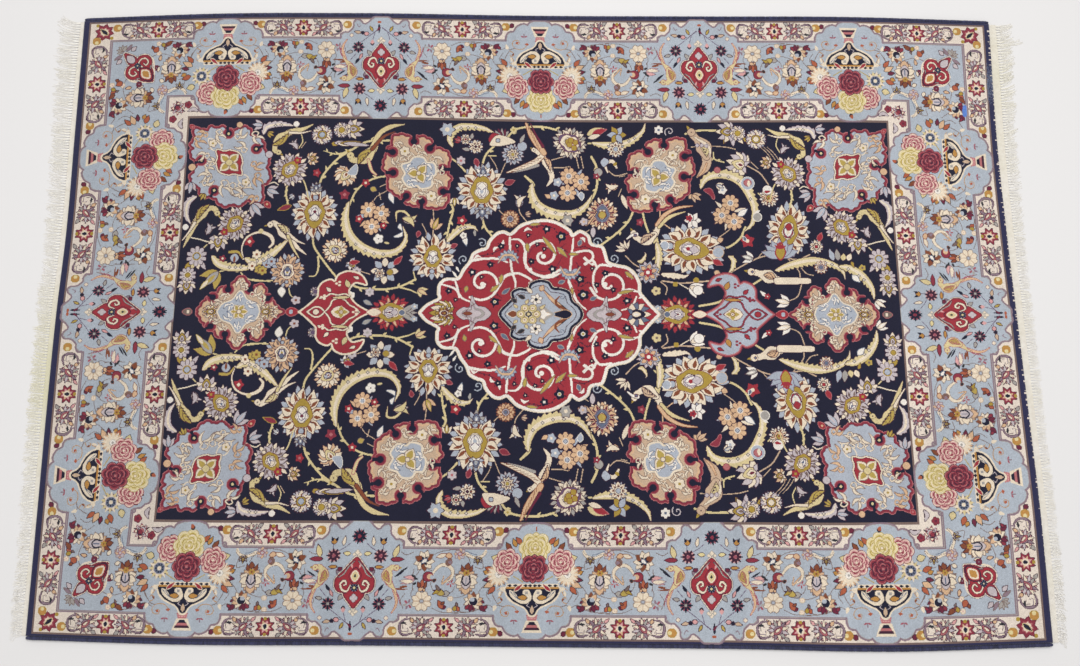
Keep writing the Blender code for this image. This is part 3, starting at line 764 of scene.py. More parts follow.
def blue_cartouche():
    """The grey-blue panel in each corner of the field."""
    cartouche([597+326j, 576+322j, 567+329j, 558+325j, 550+329j, 540+324j, 526+322j, 512+328j, 501+323j,
        498+312j, 484+308j, 477+298j, 474+284j, 468+274j, 466+264j, 469+255j, 463+240j, 466+228j, 475+222j,
        474+195j, 489+195j, 500+197j, 507+189j, 516+187j, 524+190j, 533+186j, 545+190j, 553+199j, 564+203j,
        574+203j, 580+210j, 582+219j, 593+226j, 598+238j, 592+248j, 588+262j, 598+274j, 600+284j, 596+289j,
        601+297j, 595+308j], SKY, BLUE, [(537+316j, 0.3+1j), (488+288j, -1+0.5j), (581+267j, 1-0.4j),
        (556+213j, 0.5-1j)], 5.5)
    centre = 533 + 263j
    for base, tip in ((507+288j, 520+300j), (520+308j, 506+318j), (550+294j, 568+300j),
            (592+306j, 582+290j), (492+258j, 476+252j), (486+240j, 484+222j), (512+222j, 498+206j),
            (528+220j, 516+204j), (542+226j, 540+204j), (566+240j, 584+238j), (572+224j, 558+230j),
            (572+278j, 588+276j), (556+318j, 550+302j), (572+256j, 564+244j), (576+316j, 590+318j),
            (494+314j, 484+298j), (560+262j, 566+272j), (484+202j, 498+198j), (508+206j, 520+214j)):
        arabesque(base, 1.1 * (tip - base), IVORY if abs(base.real - 534) < 42 else PEACH, 2.1, BROWN)
    for base, way in ((550+286j, 1), (516+240j, -1)):
        shape([base, base + way * (3+12j), base + way * (20+20j), base + way * (14+2j)], SKY, IVORY, 1.8)
        daisy(base + way * (13+12j), 7, IVORY, GOLD, 5, BROWN)
    angles = np.radians([0, 25, 45, 65, 90, 135, 180, 205, 225, 245, 270, 315])
    lens = list(centre + np.array([21, 21, 31, 21, 21, 22, 21, 21, 30, 21, 21, 22]) * np.exp(1j * angles))
    ribbon(lens, 5.4, IVORY, BROWN, 0.8, True)
    fill(curve(lens, True), RED)
    ribbon(lens, 1.2, WINE, closed=True)
    for wide, dye, edge in ((15, IVORY, BROWN), (8.5, OCHRE, None)):
        for k in range(4):
            ray = 25 * 1j ** k * np.exp(0.75j)
            leaf(centre + 0.1 * ray, centre + ray * (0.6 + wide / 60), wide, dye, edge)
    shape([centre + 6, centre + 6j, centre - 6, centre - 6j], STRAW, BROWN)
    each(flame, (600+329j, 0.6+0.6j, RED, PINK, 7), (465+190j, -0.7-0.7j, RED, PEACH, 8))


def end_panel():
    """The tan panel at each end of the field, on the rug's middle line."""
    half = [567, 562+12j, 552+26j, 540+32j, 534+40j, 528+46j, 518+44j, 510+54j, 499+65j, 490+58j, 482+46j,
        476+46j, 466+50j, 457+43j, 455+30j, 443+19j, 434+8j, 424]
    whole = half + [p.conjugate() for p in half[-2:0:-1]]
    cartouche(whole, TAN, PEACH, [(519+41j, 1j), (482+41j, -0.3+1j), (544+27j, 1+0.6j), (452+25j, -1+0.7j)],
        5.4, None)
    for at, way in ((476+30j, -14+10j), (520+32j, 12-6j), (540+8j, -2+14j), (462+8j, -12+6j),
            (458+20j, 4+14j), (498+58j, 8-12j), (546+4j, 12+2j), (488+44j, 6+10j), (530+18j, 12+2j),
            (444+4j, -12)):
        arabesque(at, way, IVORY, 1.8, BROWN)
    for at in (544, 452):
        lotus(at, at + 13, 7, IVORY, OCHRE, PEACH, GOLD, IVORY, RUST)
    half = [534, 526+14j, 510+22j, 498+38j, 486+22j, 470+14j, 464]
    ribbon(half, 5, IVORY, BROWN, 0.8)
    fill(curve(half), SKY)
    for at, way in ((512+14j, 12-8j), (484+16j, -12-8j), (498+30j, 6-10j)):
        arabesque(at, way, WHITE, 1.8, SLATE)
    for k in range(4):
        ray = 15 * np.exp(1j * (np.pi * k / 3))
        for wide, dye in ((14, BROWN), (12, IVORY), (7, OCHRE)):
            leaf(498 + 0.15 * ray, 498 + ray * (0.8 + wide / 60), wide, dye)
    disc(498, 3.4, IVORY, BROWN)
    each(flame, (583+1j, 1, BROWN, IVORY, 9), (411+1j, -1, RED, SKY, 12))


def field_end():
    """What stands alike at both ends of the field."""
    each(vine, ([395+200j, 402+225j, 412+245j], 2.4, STRAW), ([432+226j, 434+210j, 430+192j], 3.2, STRAW,
        9), ([470+205j, 484+196j, 492+182j, 505+172j], 2, IVORY),
        ([530+135j, 556+126j, 575+130j, 590+133j], 2, IVORY), ([547+130j, 562+120j, 572+108j], 1.8, STRAW),
        ([470+222j, 456+228j, 448+224j], 1.8, IVORY), ([425+331j, 415+320j, 410+303j, 416+290j], 1.8,
        STRAW))
    blue_cartouche()
    end_panel()
    each(lotus, (430+250j, 412+272j, 13, LILAC, BROWN, IVORY, GOLD, IVORY, SLATE),
        (516+157j, 534+136j, 13, LILAC, BROWN, IVORY, GOLD, IVORY, SLATE))
    each(blossom, (417+268j, 8, RED, GOLD), (534+142j, 8, RED, GOLD))
    each(bird, ([450+282j, 457+287j, 453+302j, 434+318j, 410+325j, 393+334j], STRAW, OCHRE, 16, 7),
        ([548+174j, 554+182j, 569+180j, 583+160j, 592+138j, 601+116j], STRAW, OCHRE, 16, 7))
    each(ribbon, ([432+318j, 412+318j, 396+322j], [5, 3, 1], IVORY, PLUM),
        ([585+158j, 594+142j, 604+128j], [5, 3, 1], IVORY, PLUM))
    each(sickle, ([478+314j, 472+328j, 452+333j, 426+331j], 9, LILAC, -1, [458+331j, 448+332j]),
        ([585+204j, 599+192j, 600+172j, 592+156j], 9, LILAC, 1))
    each(spray, (470+318j, 460+312j, OCHRE, GOLD), (572+208j, 578+197j, OCHRE, GOLD), (466+216j, 446+208j),
        (490+190j, 474+170j), (596+228j, 598+208j), (480+331j, 498+333j))
    each(tulip, (418+288j, 428+304j, LILAC, GREY), (564+138j, 555+156j, LILAC, GREY))
    each(disc, (422+334j, 5, WHITE, PLUM), (600+151j, 5, WHITE, PLUM), (466+278j, 6, LILAC, PLUM),
        (596+255j, 6, PEACH, PLUM), (519+332j, 5, PEACH, PLUM))
    half_lotus(543+134j, 543+108j, LILAC, IVORY, GOLD, BROWN, 7)
    for k in range(4):
        leaf(570 + 92j + 5 * k, 560 + 78j + 12 * k, 7, (LILAC, IVORY, STRAW, GOLD)[k], PLUM)
    each(daisy, (577+101j, 17, LILAC, SKY, 10, PLUM, GOLD, 0, 0.28),
        (589+68j, 14, LILAC, GOLD, 10, PLUM, IVORY))
    each(half_lotus, (589+56j, 590+32j, LILAC, IVORY, GOLD, BROWN, 7),
        (398+270j, 380+274j, PEACH, IVORY, GOLD, BROWN, 7))


def tall_panel():
    """A tan panel that stands across the rug, beside the medallion. Its middle is the pen's place."""
    outline = [-47+45j, -46+60j, -31+64j, -20+61j, -11+58j, -2+61j, 9+60j, 20+53j, 26+42j, 36+39j, 48+33j,
        52+21j, 50+11j, 49+3j, 49-6j, 55-12j, 51-23j, 50-36j, 52-46j, 48-58j, 39-65j, 21-65j, 7-63j, -4-62j,
        -18-58j, -26-50j, -38-43j, -51-31j, -51-20j, -54-6j, -60+2j, -60+12j, -58+21j, -54+32j, -54+39j]
    cartouche(outline, TAN, PEACH, ((-10+52j, 1j), (18+40j, 0.7+0.8j), (41+3j, 1), (43-37j, 1),
        (7-55j, -1j), (-20-46j, -0.5-0.8j), (-44-5j, -1), (-46+32j, -1+0.2j)), 5.6, None)
    for at, way in ((-38+8j, -8+15j), (24+24j, 18-8j), (-38-22j, 16-6j), (-8-50j, 12+10j), (30-18j, 12-10j),
            (-8+44j, 12-6j), (-40+48j, 12-2j), (34-56j, 8+12j), (-30-36j, 8+12j), (2+32j, 12-6j),
            (38-4j, -6+14j), (12-40j, -12+4j), (-30+22j, 12+2j)):
        arabesque(at, way, IVORY, 1.8, BROWN)
    ribbon([-24+33j, -12+30j, -8+22j, -14+16j, -19+22j, -14+28j], 2.2, IVORY, BROWN, 0.6)
    for at in (-25+34j, 23-45j):
        daisy(at, 9, IVORY, GOLD, 6, BROWN, None, 0.2, 0.28)
    heart = [-28+8j, -16+13j, -8+22j, 6+22j, 13+13j, 25+12j, 28-4j, 22-13j, 21-27j, 6-31j, -2-26j, -16-28j,
        -26-16j, -22-6j]
    ribbon(heart, 7, IVORY, BROWN, 0.8, True)
    fill(curve(heart, True), SKY)
    for at, way in ((10+12j, 12-12j), (-16-20j, 16-2j), (-20+2j, 8+10j), (22-8j, -8-10j)):
        arabesque(at, way, WHITE, 1.8, SLATE)
    for wide, dye, edge in ((17, IVORY, BROWN), (11, OCHRE, None)):
        for ray in (-17-1j, 11+13j, 8-15j):
            leaf(-5j, -5j + ray * (0.8 + wide / 50), wide, dye, edge)
    disc(-5j, 3.4, IVORY, BROWN)


def pendant(ground, outline, line, hearts):
    """A lobed pendant beside the medallion, on the rug's middle line, pointing outwards."""
    half = [395, 384+10j, 374+20j, 366+30j, 366+44j, 360+54j, 348+59j, 340+56j, 334+68j, 318+74j, 298+68j,
        288+53j, 294+54j, 305+56j, 313+50j, 317+38j, 310+22j, 299+11j, 283+1j]
    whole = half + [p.conjugate() for p in half[::-1]]
    z = np.array(whole)
    ribbon(whole, 6.4, outline, closed=True)
    fill(curve(z, True), ground)
    if line is not None:
        ribbon(whole, 2.4, line, closed=True)
    ogee = [296, 304+8j, 314+14j, 322+23j, 332+26j, 342+22j, 346+12j, 352+3j, 362-8j, 372-9j, 384]
    for points in (ogee, [p.conjugate() for p in ogee], [364+26j, 354+29j, 346+34j, 334+32j, 322+34j,
            314+30j]):
        ribbon(points, 2.6, outline, PLUM, 0.6)
    leaf(314+28j, 344+27j, 5, hearts[0], PLUM)
    disc(369, 5, hearts[2], PLUM, 0.8)
    for spot in (334+53j, 358+28j, 303):
        corolla(spot, 6, 3, [outline], None, 0.8)
    leaves([(316+46j, 322+60j, 8, hearts[0]), (346+38j, 354+46j, 6, hearts[3]),
        (300+62j, 310+66j, 5, hearts[3]), (344, 312, 22, IVORY, WINE)])
    corolla(327, 11, 4, [OCHRE], IVORY, 0.7)
    each(disc, (327, 3, IVORY, RUST, 1.2), (327, 1.2, VIOLET))


FIELD_LONG, FIELD_WIDE = 606, 345      # half its size: it stops at its own frame
border = chart.copy()
chart[:] = NAVY
hold_pen()

# The field left of the medallion, between it and the end.
each(vine, ([-378+222j, -372+242j, -350+270j, -325+288j, -300+303j, -262+306j], 3.6, STRAW, 16, 9),
    ([-322+290j, -348+280j, -374+286j], [3.6, 3, 1], STRAW, 10, 7),
    ([-262+242j, -282+238j, -302+228j, -316+212j, -325+190j], 3.2, STRAW, 18, 8),
    ([-384+138j, -380+118j, -366+98j, -350+78j, -338+64j], 3.4, STRAW),
    ([-372+100j, -370+82j, -374+68j, -384+66j], [3.4, 3, 2], STRAW),
    ([-318+56j, -300+46j, -262+43j, -232+48j, -205+62j], 3.6, STRAW, 22, 9),
    ([-230+47j, -212+42j, -196+34j], [3, 2], STRAW), ([-156+200j, -148+185j, -153+160j, -156+135j], 3.4,
    STRAW, 18, 9), ([-158+126j, -146+138j, -132+150j], 3.2, STRAW),
    ([-165+280j, -148+272j, -128+252j], 3, STRAW), ([-100+266j, -94+284j, -80+300j, -62+312j, -40+332j,
    336j, 30+330j], 3.6, STRAW, 26, 9), ([-90+282j, -76+282j], [3, 1], STRAW),
    ([-98+172j, -92+155j, -80+140j], 3.4, STRAW, 14, 9), ([-88+282j, -76+262j, -72+240j], 1.4, TAN),
    ([-60+270j, -68+250j], 1.4, TAN), ([-70+185j, -55+172j], 1.4, TAN),
    ([-22+166j, -34+182j, -36+198j], 1.6, TAN), ([-205+60j, -210+78j], 2, STRAW),
    ([-275+212j, -272+200j], 1.4, TAN), ([-262+216j, -278+206j, -284+198j], 1.4, TAN),
    ([-256+232j, -275+222j], 1.4, TAN), ([-182+185j, -180+165j, -180+140j], 1.6, TAN),
    ([-200+160j, -192+145j, -192+135j], 1.4, TAN), ([-404+302j, -412+290j], 1.4, TAN),
    ([-322+85j, -300+76j, -282+70j], 1.4, TAN), ([-480+60j, -450+56j], 2, STRAW),
    ([-500+72j, -490+62j, -470+57j, -446+58j], 2.4, STRAW), ([-545+72j, -525+76j, -505+74j], 2, STRAW),
    ([-418+48j, -414+32j, -402+22j], 2, STRAW), ([-240+254j, -262+250j], 1.4, TAN))
# big lotuses and panels
each(lotus, (-383+177j, -383+136j, 15, IVORY, RUST, SKY, GOLD, WHITE, WINE, IVORY, 0.92),
    (-343+111j, -360+122j, 13, IVORY, None, PEACH, STRAW, SKY, RUST, None, 1.0, 0.5),
    (-100+218j, -100+262j, 15, IVORY, RUST, SKY, GOLD, WHITE, SKY, IVORY, 0.95),
    (-178+100j, -178+138j, 13, IVORY, RUST, SKY, GOLD, WHITE, GREY, IVORY, 1.0, 0.46),
    (-422+73j, -422+101j, 14, PEACH, BROWN, SKY, IVORY, SLATE, OCHRE, None, 1.0, 0.5))
each(half_lotus, (-383+214j, -383+230j, SKY, GREY, SLATE, WHITE, 7),
    (-318+92j, -305+80j, SKY, WHITE, OCHRE, BROWN, 5), (-328+250j, -346+226j, IVORY, PEACH, STRAW, RUST,
    11), (-98+188j, -98+166j, SKY, GREY, SLATE, WHITE, 7), (-98+246j, -99+266j, SKY, WHITE, SLATE, GREY, 5))
shape([-330+246j, -316+262j, -316+244j], SKY, WHITE)
# rosettes along the top
for k in range(5):
    leaf(-360 + 300j + 5 * k, -350 + 296j + 14 * k + k % 2 * 6j, 7, (GOLD, LILAC, IVORY, GOLD, LILAC)[k],
        PLUM)
each(bloom, (-377+315j, 18, LILAC, SKY, 12, PLUM, GOLD, 0, 0.26),
    (-344+324j, 14, LILAC, GOLD, 10, PLUM, IVORY, 0, 0.36))
half_lotus(-332+326j, -304+326j, LILAC, IVORY, GOLD, BROWN, 7)
# birds
each(bird, ([-327+278j, -322+270j, -306+271j, -289+290j, -280+316j, -262+330j, -236+336j], STRAW, OCHRE, 20,
    8), ([-457+155j, -450+157j, -438+148j, -424+132j, -408+116j, -392+104j], IVORY, STRAW, 17, 6),
    ([-12+294j, -6+290j, 9+274j, 17+256j, 20+242j, 11+228j], IVORY, PEACH, 13, 8))
each(ribbon, ([-290+290j, -272+312j, -252+322j], [6, 5, 1], RUST, PLUM),
    ([-296+270j, -290+252j, -282+244j], [4, 4, 2], STRAW, PINK), ([-426+140j, -410+128j, -396+122j],
    [5, 4, 1], IVORY, PLUM), ([-426+136j, -416+116j, -404+98j], [5, 4, 1], STRAW, PLUM),
    ([-58+252j, -36+260j, -12+270j, 2+282j], [1, 6, 10, 8], IVORY, RUST),
    ([-48+252j, -26+258j, -4+266j], [1, 3, 5], GREY, PLUM, 0.6), ([-26+342j, -16+320j, -2+300j, 6+288j],
    [2, 8, 11, 8], PEACH, RUST), ([-18+342j, -8+320j, 4+300j], [1, 3, 5], WINE, PLUM, 0.6))
for base, way in ((-50+254j, 5.6+3.1j), (-21+336j, 2.4-4.8j)):
    for k in range(9):
        ribbon([base + k * way, base + (k + 1 - 0.5j) * way], 0.8, RUST)
# sickles
each(sickle, ([-326+196j, -330+168j, -322+140j, -300+118j, -268+107j, -240+112j, -226+132j, -232+155j], 14,
    STRAW, -1, [-310+122j, -293+111j, -278+106j, -262+105j]), ([-552+102j, -540+88j, -520+81j, -492+80j,
    -474+84j], 12, STRAW, 1, [-520+82j, -510+82j, -501+82j]), ([-496+98j, -482+90j, -462+96j, -442+112j,
    -424+130j], 13, STRAW, 1, [-474+93j, -465+96j, -456+102j]), ([-152+296j, -158+312j, -150+328j,
    -132+335j, -100+332j, -78+322j], 11, STRAW, -1, [-138+331j, -126+332j, -113+332j]),
    ([-156+128j, -142+144j, -128+154j, -112+154j, -104+148j], 10, STRAW, 1, [-134+152j, -126+154j]))
# clusters and single flowers
cluster([-292+182j, -270+176j, -285+153j], 14)
each(blossom, (-307+166j, 8, RED), (-265+155j, 7, RED), (-383+246j, 8, RED, PINK),
    (-334+208j, 10, CRIMSON, PINK, 0.3), (-299+229j, 8, RED, IVORY, 1.0), (-490+126j, 10, RED),
    (-533+97j, 7, CRIMSON), (-132+166j, 10, RED))
each(daisy, (-272+132j, 8, WHITE, PLUM, 5, GREY, None, 0, 0.2), (-404+22j, 8, LILAC, RUST, 5),
    (-281+38j, 8, LILAC, GREY, 6), (-312+32j, 7, WHITE, IVORY, 5, None), (-305+75j, 8, LILAC, BROWN, 6),
    (-137+272j, 8, LILAC, PINK, 6))
leaf(-262+126j, -252+124j, 4, STRAW)
each(fan, (-258+76j, 8, 24, 0, FULL_TURN / 8, 8, 11, [IVORY, SKY], PLUM),
    (-68+312j, 0, 20, 0.9, 0.32, 7, 7, [GREY, WINE], PLUM))
each(bloom, (-266+72j, 9, IVORY, RUST, 6, PLUM, None, 0, 0.2), (-372+38j, 9, LILAC, VIOLET, 6, PLUM, None,
    0, 0.4), (-130+311j, 10, IVORY, CRIMSON, 6, PLUM, None, 0, 0.2),
    (-112+298j, 13, IVORY, PLUM, 7, PLUM, None, 0, 0.18))
disc(-249+74j, 5, GOLD, BROWN)
leaves([(-243+88j, -230+102j, 8, RED), (-318+90j, -302+92j, 7, RED),
    (-290+220j, -280+216j, 8, OCHRE, BROWN), (-258+212j, -250+194j, 8, WHITE, SLATE),
    (-204+146j, -206+136j, 7, CRIMSON)], PINK)
each(tulip, (-234+168j, -208+163j, STRAW, GREY), (-36+190j, -34+214j, IVORY, SKY))
each(ribbon, ([-243+162j, -244+178j, -232+180j, -222+172j], [1, 3, 4, 3], STRAW, PLUM),
    ([-498+96j, -502+116j, -494+134j, -474+142j, -456+136j, -450+124j, -456+116j], [2, 2, 3, 3, 5, 6, 3],
    IVORY, PLUM), ([-522+108j, -508+108j, -500+98j], [5, 4, 2], OCHRE, PLUM),
    ([-20+242j, -26+246j, -12+232j, -16+222j], [2, 4, 5, 5], STRAW))
each(shape, ([-240+152j, -232+145j, -246+136j, -232+138j, -236+158j], WHITE, SLATE),
    ([-90+310j, -84+322j, -72+320j, -70+306j, -80+300j], RED, PLUM),
    ([-88+302j, -78+318j, -62+318j, -44+308j, -60+302j, -74+300j], IVORY, PLUM))
each(spray, (-180+150j, -172+170j, PEACH, OCHRE), (-538+74j, -562+46j, OCHRE, GREY),
    (-420+206j, -428+200j, SKY, WHITE), (-138+308j, -150+312j, RED, PINK), (-24+178j, -14+180j, TAN, TAN),
    (-146+206j, -146+190j, IVORY, OCHRE), (-200+44j, -184+34j, STRAW, PEACH))
each(disc, (-472+144j, 4, STRAW), (-513+98j, 7, SKY, PLUM), (-74+310j, 3.5, SKY, PLUM))
leaves([(-513+90j, -513+102j, 5, RUST, None), (-554+58j, -566+42j, 6, IVORY, OCHRE),
    (-430+46j, -428+28j, 12, WHITE, GREY), (-424+188j, -446+180j, 8, CRIMSON, GOLD),
    (-290+22j, -276+14j, 7, GREY, SLATE), (-112+276j, -108+262j, 8, CRIMSON, PINK),
    (-60+232j, -44+238j, 9, CRIMSON, PINK), (-122+292j, -136+294j, 6, GREY),
    (-120+312j, -118+322j, 6, GREY)])
for k, at in enumerate((-482+84j, -470+78j, -458+86j, -476+104j, -464+76j, -450+92j)):
    daisy(at, 8, (IVORY, OCHRE, SKY)[k % 3], RUST, 6, PLUM, share=0.3)
star(-162+328j, 14, SKY, IVORY, 6, PLUM, 0, 0.35)
each(bloom, (-48+285j, 19, SKY, OCHRE, 8, PLUM, IVORY, 0.2, 0.26),
    (-48+285j, 11, IVORY, OCHRE, 8, PLUM, None, 0.2, 0.25), (-50+170j, 15, PEACH, SLATE, 10, RUST, SKY, 0,
    0.22))
disc(-32+300j, 8, SKY, PLUM)
leaves([(-36+306j, -28+322j, 6, GREY), (-128+142j, -122+122j, 8, WHITE, SLATE),
    (-110+150j, -108+138j, 5, GREY, None), (-148+120j, -138+124j, 7, CRIMSON, PINK)])
each(daisy, (-47+330j, 6, STRAW, OCHRE, 5, None), (-128+140j, 6, WHITE, GREY, 5))
lotus(-245, -212, 11, RED, PEACH, RED, GOLD, LILAC, WINE, IVORY, 1.0, 0.62)
fan(-225, 0, 26, -0.7, 0.35, 5, 8, [GREY], PLUM)
disc(-225, 5, SLATE, IVORY)
daisy(-204+12j, 6, SKY, IVORY, 5, None)

# The field right of the medallion, between it and the end.
each(vine, ([94+308j, 82+306j], 3, STRAW), ([88+282j, 97+262j, 98+235j, 92+212j, 78+196j], 4, STRAW, 20, 8),
    ([160+184j, 150+164j, 128+142j, 102+122j], 3.6, STRAW, 20, 9),
    ([176+184j, 180+165j, 186+148j], 3.4, STRAW), ([196+150j, 202+125j, 200+100j], 5, STRAW, 16, 9),
    ([62+280j, 66+262j], 1.6, TAN), ([70+282j, 74+262j], 1.6, TAN), ([24+262j, 38+262j, 50+264j], 1.6, TAN),
    ([20+276j, 40+282j], 1.6, TAN), ([134+210j, 140+225j], 1.4, TAN), ([136+246j, 146+248j], 1.4, TAN),
    ([150+252j, 130+248j, 118+256j], 1.8, TAN), ([72+142j, 86+152j], 1.4, TAN),
    ([210+62j, 240+58j, 270+60j, 300+63j], 2.6, TAN), ([208+60j, 218+50j, 216+38j], 1.8, TAN),
    ([240+56j, 256+46j, 262+40j], 1.8, IVORY), ([252+324j, 275+330j, 305+330j], 3.6, STRAW),
    ([300+290j, 302+278j, 318+272j], 2.6, STRAW, 10, 6), ([262+300j, 285+302j, 320+300j, 338+296j], 1.6,
    TAN), ([358+266j, 380+252j, 394+232j], 2.2, TAN), ([345+290j, 362+275j, 378+260j], 1.4, TAN),
    ([306+118j, 324+122j, 342+136j, 352+156j], 3.6, STRAW), ([306+138j, 320+148j, 330+158j], 1.6, TAN),
    ([324+76j, 348+90j, 372+102j, 394+108j], 2.2, TAN), ([372+102j, 380+112j, 386+116j], 1.4, TAN),
    ([360+54j, 372+62j, 380+68j], 3.4, STRAW), ([272+16j, 300+22j, 318+30j], 4, STRAW),
    ([206+190j, 208+168j, 226+152j], 1.8, PEACH), ([376+216j, 394+196j], 2, STRAW),
    ([420+102j, 440+100j, 460+108j], 2.2, TAN), ([422+102j, 440+80j, 442+68j], 1.6, TAN),
    ([440+92j, 452+76j, 464+72j], 1.6, TAN), ([444+56j, 436+34j, 416+24j], 1.8, TAN),
    ([176+84j, 162+92j, 148+106j], 1.8, TAN), ([98+12j, 90+4j], 1, TAN))
# the spiral and small flowers near the far edge
curl(224+328j, 9, 1.3, LILAC, 1.6, 2.0)
daisy(205+331j, 8, WHITE, SLATE, 6)
# lotuses
each(lotus, (52+306j, 29+321j, 13, IVORY, BROWN, GREY, IVORY, GOLD, OCHRE, VIOLET, 1.0, 0.6),
    (107+178j, 107+204j, 14, PEACH, WINE, IVORY, SLATE, IVORY, GOLD, SKY, 1.0, 0.5),
    (255+118j, 306+110j, 15, IVORY, RUST, SKY, GOLD, LILAC, RED, IVORY, 0.82),
    (425+148j, 432+192j, 15, IVORY, RUST, SKY, GOLD, RED, IVORY, IVORY, 0.8),
    (235, 202, 11, RED, PEACH, RED, GOLD, LILAC, WINE, IVORY, 1.0, 0.62),
    (394+208j, 394+224j, 9, IVORY, RUST, WHITE, PEACH, GOLD, RED, None, 1.0, 0.5))
for z in (50+304j, 60+308j, 58+298j, 52+312j):
    disc(z, 4.6, GOLD, RUST, 0.7)
each(disc, (107+178j, 6, OCHRE, RUST), (214+124j, 7, SKY, WHITE), (305+112j, 9, SKY, PEACH))
each(fan, (262+168j, 0, 15, 0, 1.05, 6, 9, [WHITE], PLUM), (410+104j, 0, 32, 0.35, 0.42, 7, 13, [SKY],
    VIOLET))
blossom(256+172j, 7, RED, WINE)
shape([410+100j, 418+112j, 411+128j, 403+112j], GOLD, RED, 2)
each(fan, (410+118j, 0, 12, 0.5, 0.5, 5, 4, [RED]), (216, 0, -26, -0.7, 0.35, 5, 8, [GREY], PLUM))
each(disc, (218, 5, SLATE, IVORY), (392+222j, 8, WHITE, PLUM))
daisy(203+12j, 6, SKY, IVORY, 5, None)
half_lotus(356+264j, 322+276j, IVORY, LILAC, STRAW, WINE)
leaf(386+218j, 398+220j, 5, RED)
# rosettes along the top
for k in range(5):
    leaf(325 + 318j + 9 * k, 318 + 306j + 17 * k - k % 2 * 5j, 7, (GOLD, LILAC, IVORY, GOLD, LILAC)[k],
        PLUM)
half_lotus(334+328j, 304+328j, LILAC, IVORY, GOLD, BROWN, 7)
each(bloom, (343+325j, 14, LILAC, GOLD, 10, PLUM, IVORY, 0, 0.36),
    (375+314j, 18, LILAC, IVORY, 12, PLUM, GOLD, 0, 0.26))
for z in (0, 6, 12):
    vine([382 + z + 300j, 394 + z + 288j, 402 + z + 276j], 1.2, TAN)
# birds
each(bird, ([262+327j, 268+318j, 282+302j, 288+282j, 286+264j, 270+244j], TAN, STRAW, 24, 14),
    ([161+146j, 166+138j, 181+133j, 197+144j, 203+158j, 206+170j], IVORY, TAN, 17, 8),
    ([360+78j, 370+76j, 388+70j, 402+64j, 420+62j], IVORY, PEACH, 20, 12))
each(ribbon, ([268+318j, 292+300j, 294+282j], [2, 6, 2], IVORY, BROWN, 0.7),
    ([288+270j, 282+256j, 272+246j], [2, 4, 1], PEACH, RUST, 0.7),
    ([200+160j, 214+178j, 236+190j, 262+194j], [5, 6, 4, 1], PEACH, RUST),
    ([204+156j, 222+174j, 250+184j], [5, 6, 1], STRAW, PLUM), ([150+136j, 158+142j, 166+144j], [2, 4, 6],
    WHITE, PLUM), ([404+62j, 430+62j, 456+62j], [13, 12, 9], IVORY, PLUM))
for z in (272+303j, 280+303j, 288+302j):
    disc(z, 3, LILAC, VIOLET, 0.7)
each(disc, (164+142j, 2, SLATE, WINE), (362+78j, 1.8, SLATE, RUST))
# sickles
each(sickle, ([-14+234j, -13+214j, -2+194j, 24+181j, 54+180j, 76+192j, 90+214j], 15, STRAW, -1,
    [-6+199j, 10+187j, 27+182j, 45+181j, 66+187j]), ([88+308j, 110+304j, 134+304j, 158+312j, 176+328j,
    182+344j], 11, STRAW, -1, [140+307j, 153+311j, 163+316j]), ([276+224j, 284+240j, 300+248j, 324+248j,
    346+236j, 360+214j, 368+190j, 364+164j, 350+148j], 14, STRAW, 1,
    [310+248j, 325+245j, 342+238j, 354+226j, 362+206j]), ([200+130j, 204+108j, 202+88j, 200+66j], 10, STRAW,
    1, [200+86j, 198+72j]), ([208+74j, 228+72j, 246+70j, 256+73j], 8, IVORY, -1),
    ([400+80j, 432+92j, 466+98j, 496+92j, 514+80j, 518+64j], 12, STRAW, -1, [486+94j, 497+91j]),
    ([508+88j, 528+84j, 548+70j, 562+48j, 564+28j], 12, STRAW, -1, [524+83j, 541+71j, 549+64j]),
    ([322+106j, 330+98j, 328+84j, 322+76j], 7, STRAW, 1), ([168+96j, 176+98j, 182+108j, 180+112j], 5, STRAW,
    -1))
# clusters and single flowers
each(cluster, ([49+247j, 70+237j, 47+217j], 15), ([327+199j, 312+177j, 333+166j], 15))
each(star, (30+236j, 9, SKY, WHITE, 5, PLUM), (24+212j, 9, SKY, IVORY, 5, PLUM),
    (48+168j, 11, GREY, IVORY, 6, PLUM), (314+222j, 9, WHITE, SKY, 5, PLUM))
leaves([(70+218j, 72+204j, 9, SKY, WHITE), (18+208j, 8+214j, 7, PEACH), (80+322j, 110+334j, 14, STRAW),
    (90+324j, 114+332j, 9, RED, PINK), (82+316j, 104+322j, 8, IVORY)])
each(bloom, (130+296j, 15, IVORY, SKY, 8, PLUM, None, 0, 0.26), (186+77j, 20, SKY, IVORY, 6, PLUM, None,
    0.3, 0.2), (472+122j, 12, IVORY, RED, 7, PLUM, None, 0, 0.24),
    (478+86j, 11, IVORY, SLATE, 6, RUST, SKY))
each(fan, (132+322j, 0, 17, 0, 1.05, 6, 10, [GOLD, SKY], PLUM), (148+116j, 0, 18, 1.2, 0.5, 5, 5, [IVORY],
    PLUM), (186+77j, 6, 15, 0.3, FULL_TURN / 6, 6, 6, [PEACH], RUST))
each(ribbon, ([132+262j, 124+274j, 112+268j, 116+254j], [3, 6, 5, 2], IVORY, PLUM),
    ([98+184j, 82+162j, 70+164j], [1, 3, 4], PEACH, PLUM))
leaves([(126+266j, 132+272j, 6, GOLD, None), (140+214j, 150+188j, 8, IVORY), (92+156j, 92+138j, 9, LILAC),
    (340+176j, 356+188j, 9, WHITE, SLATE)])
each(shape, ([104+272j, 110+280j, 118+274j, 110+264j], SKY, PLUM),
    ([282+222j, 294+224j, 300+210j, 298+206j, 292+214j], CRIMSON, PINK))
tulip(134+230j, 112+224j, IVORY, PEACH)
blossom(97+247j, 7, CRIMSON, PINK)
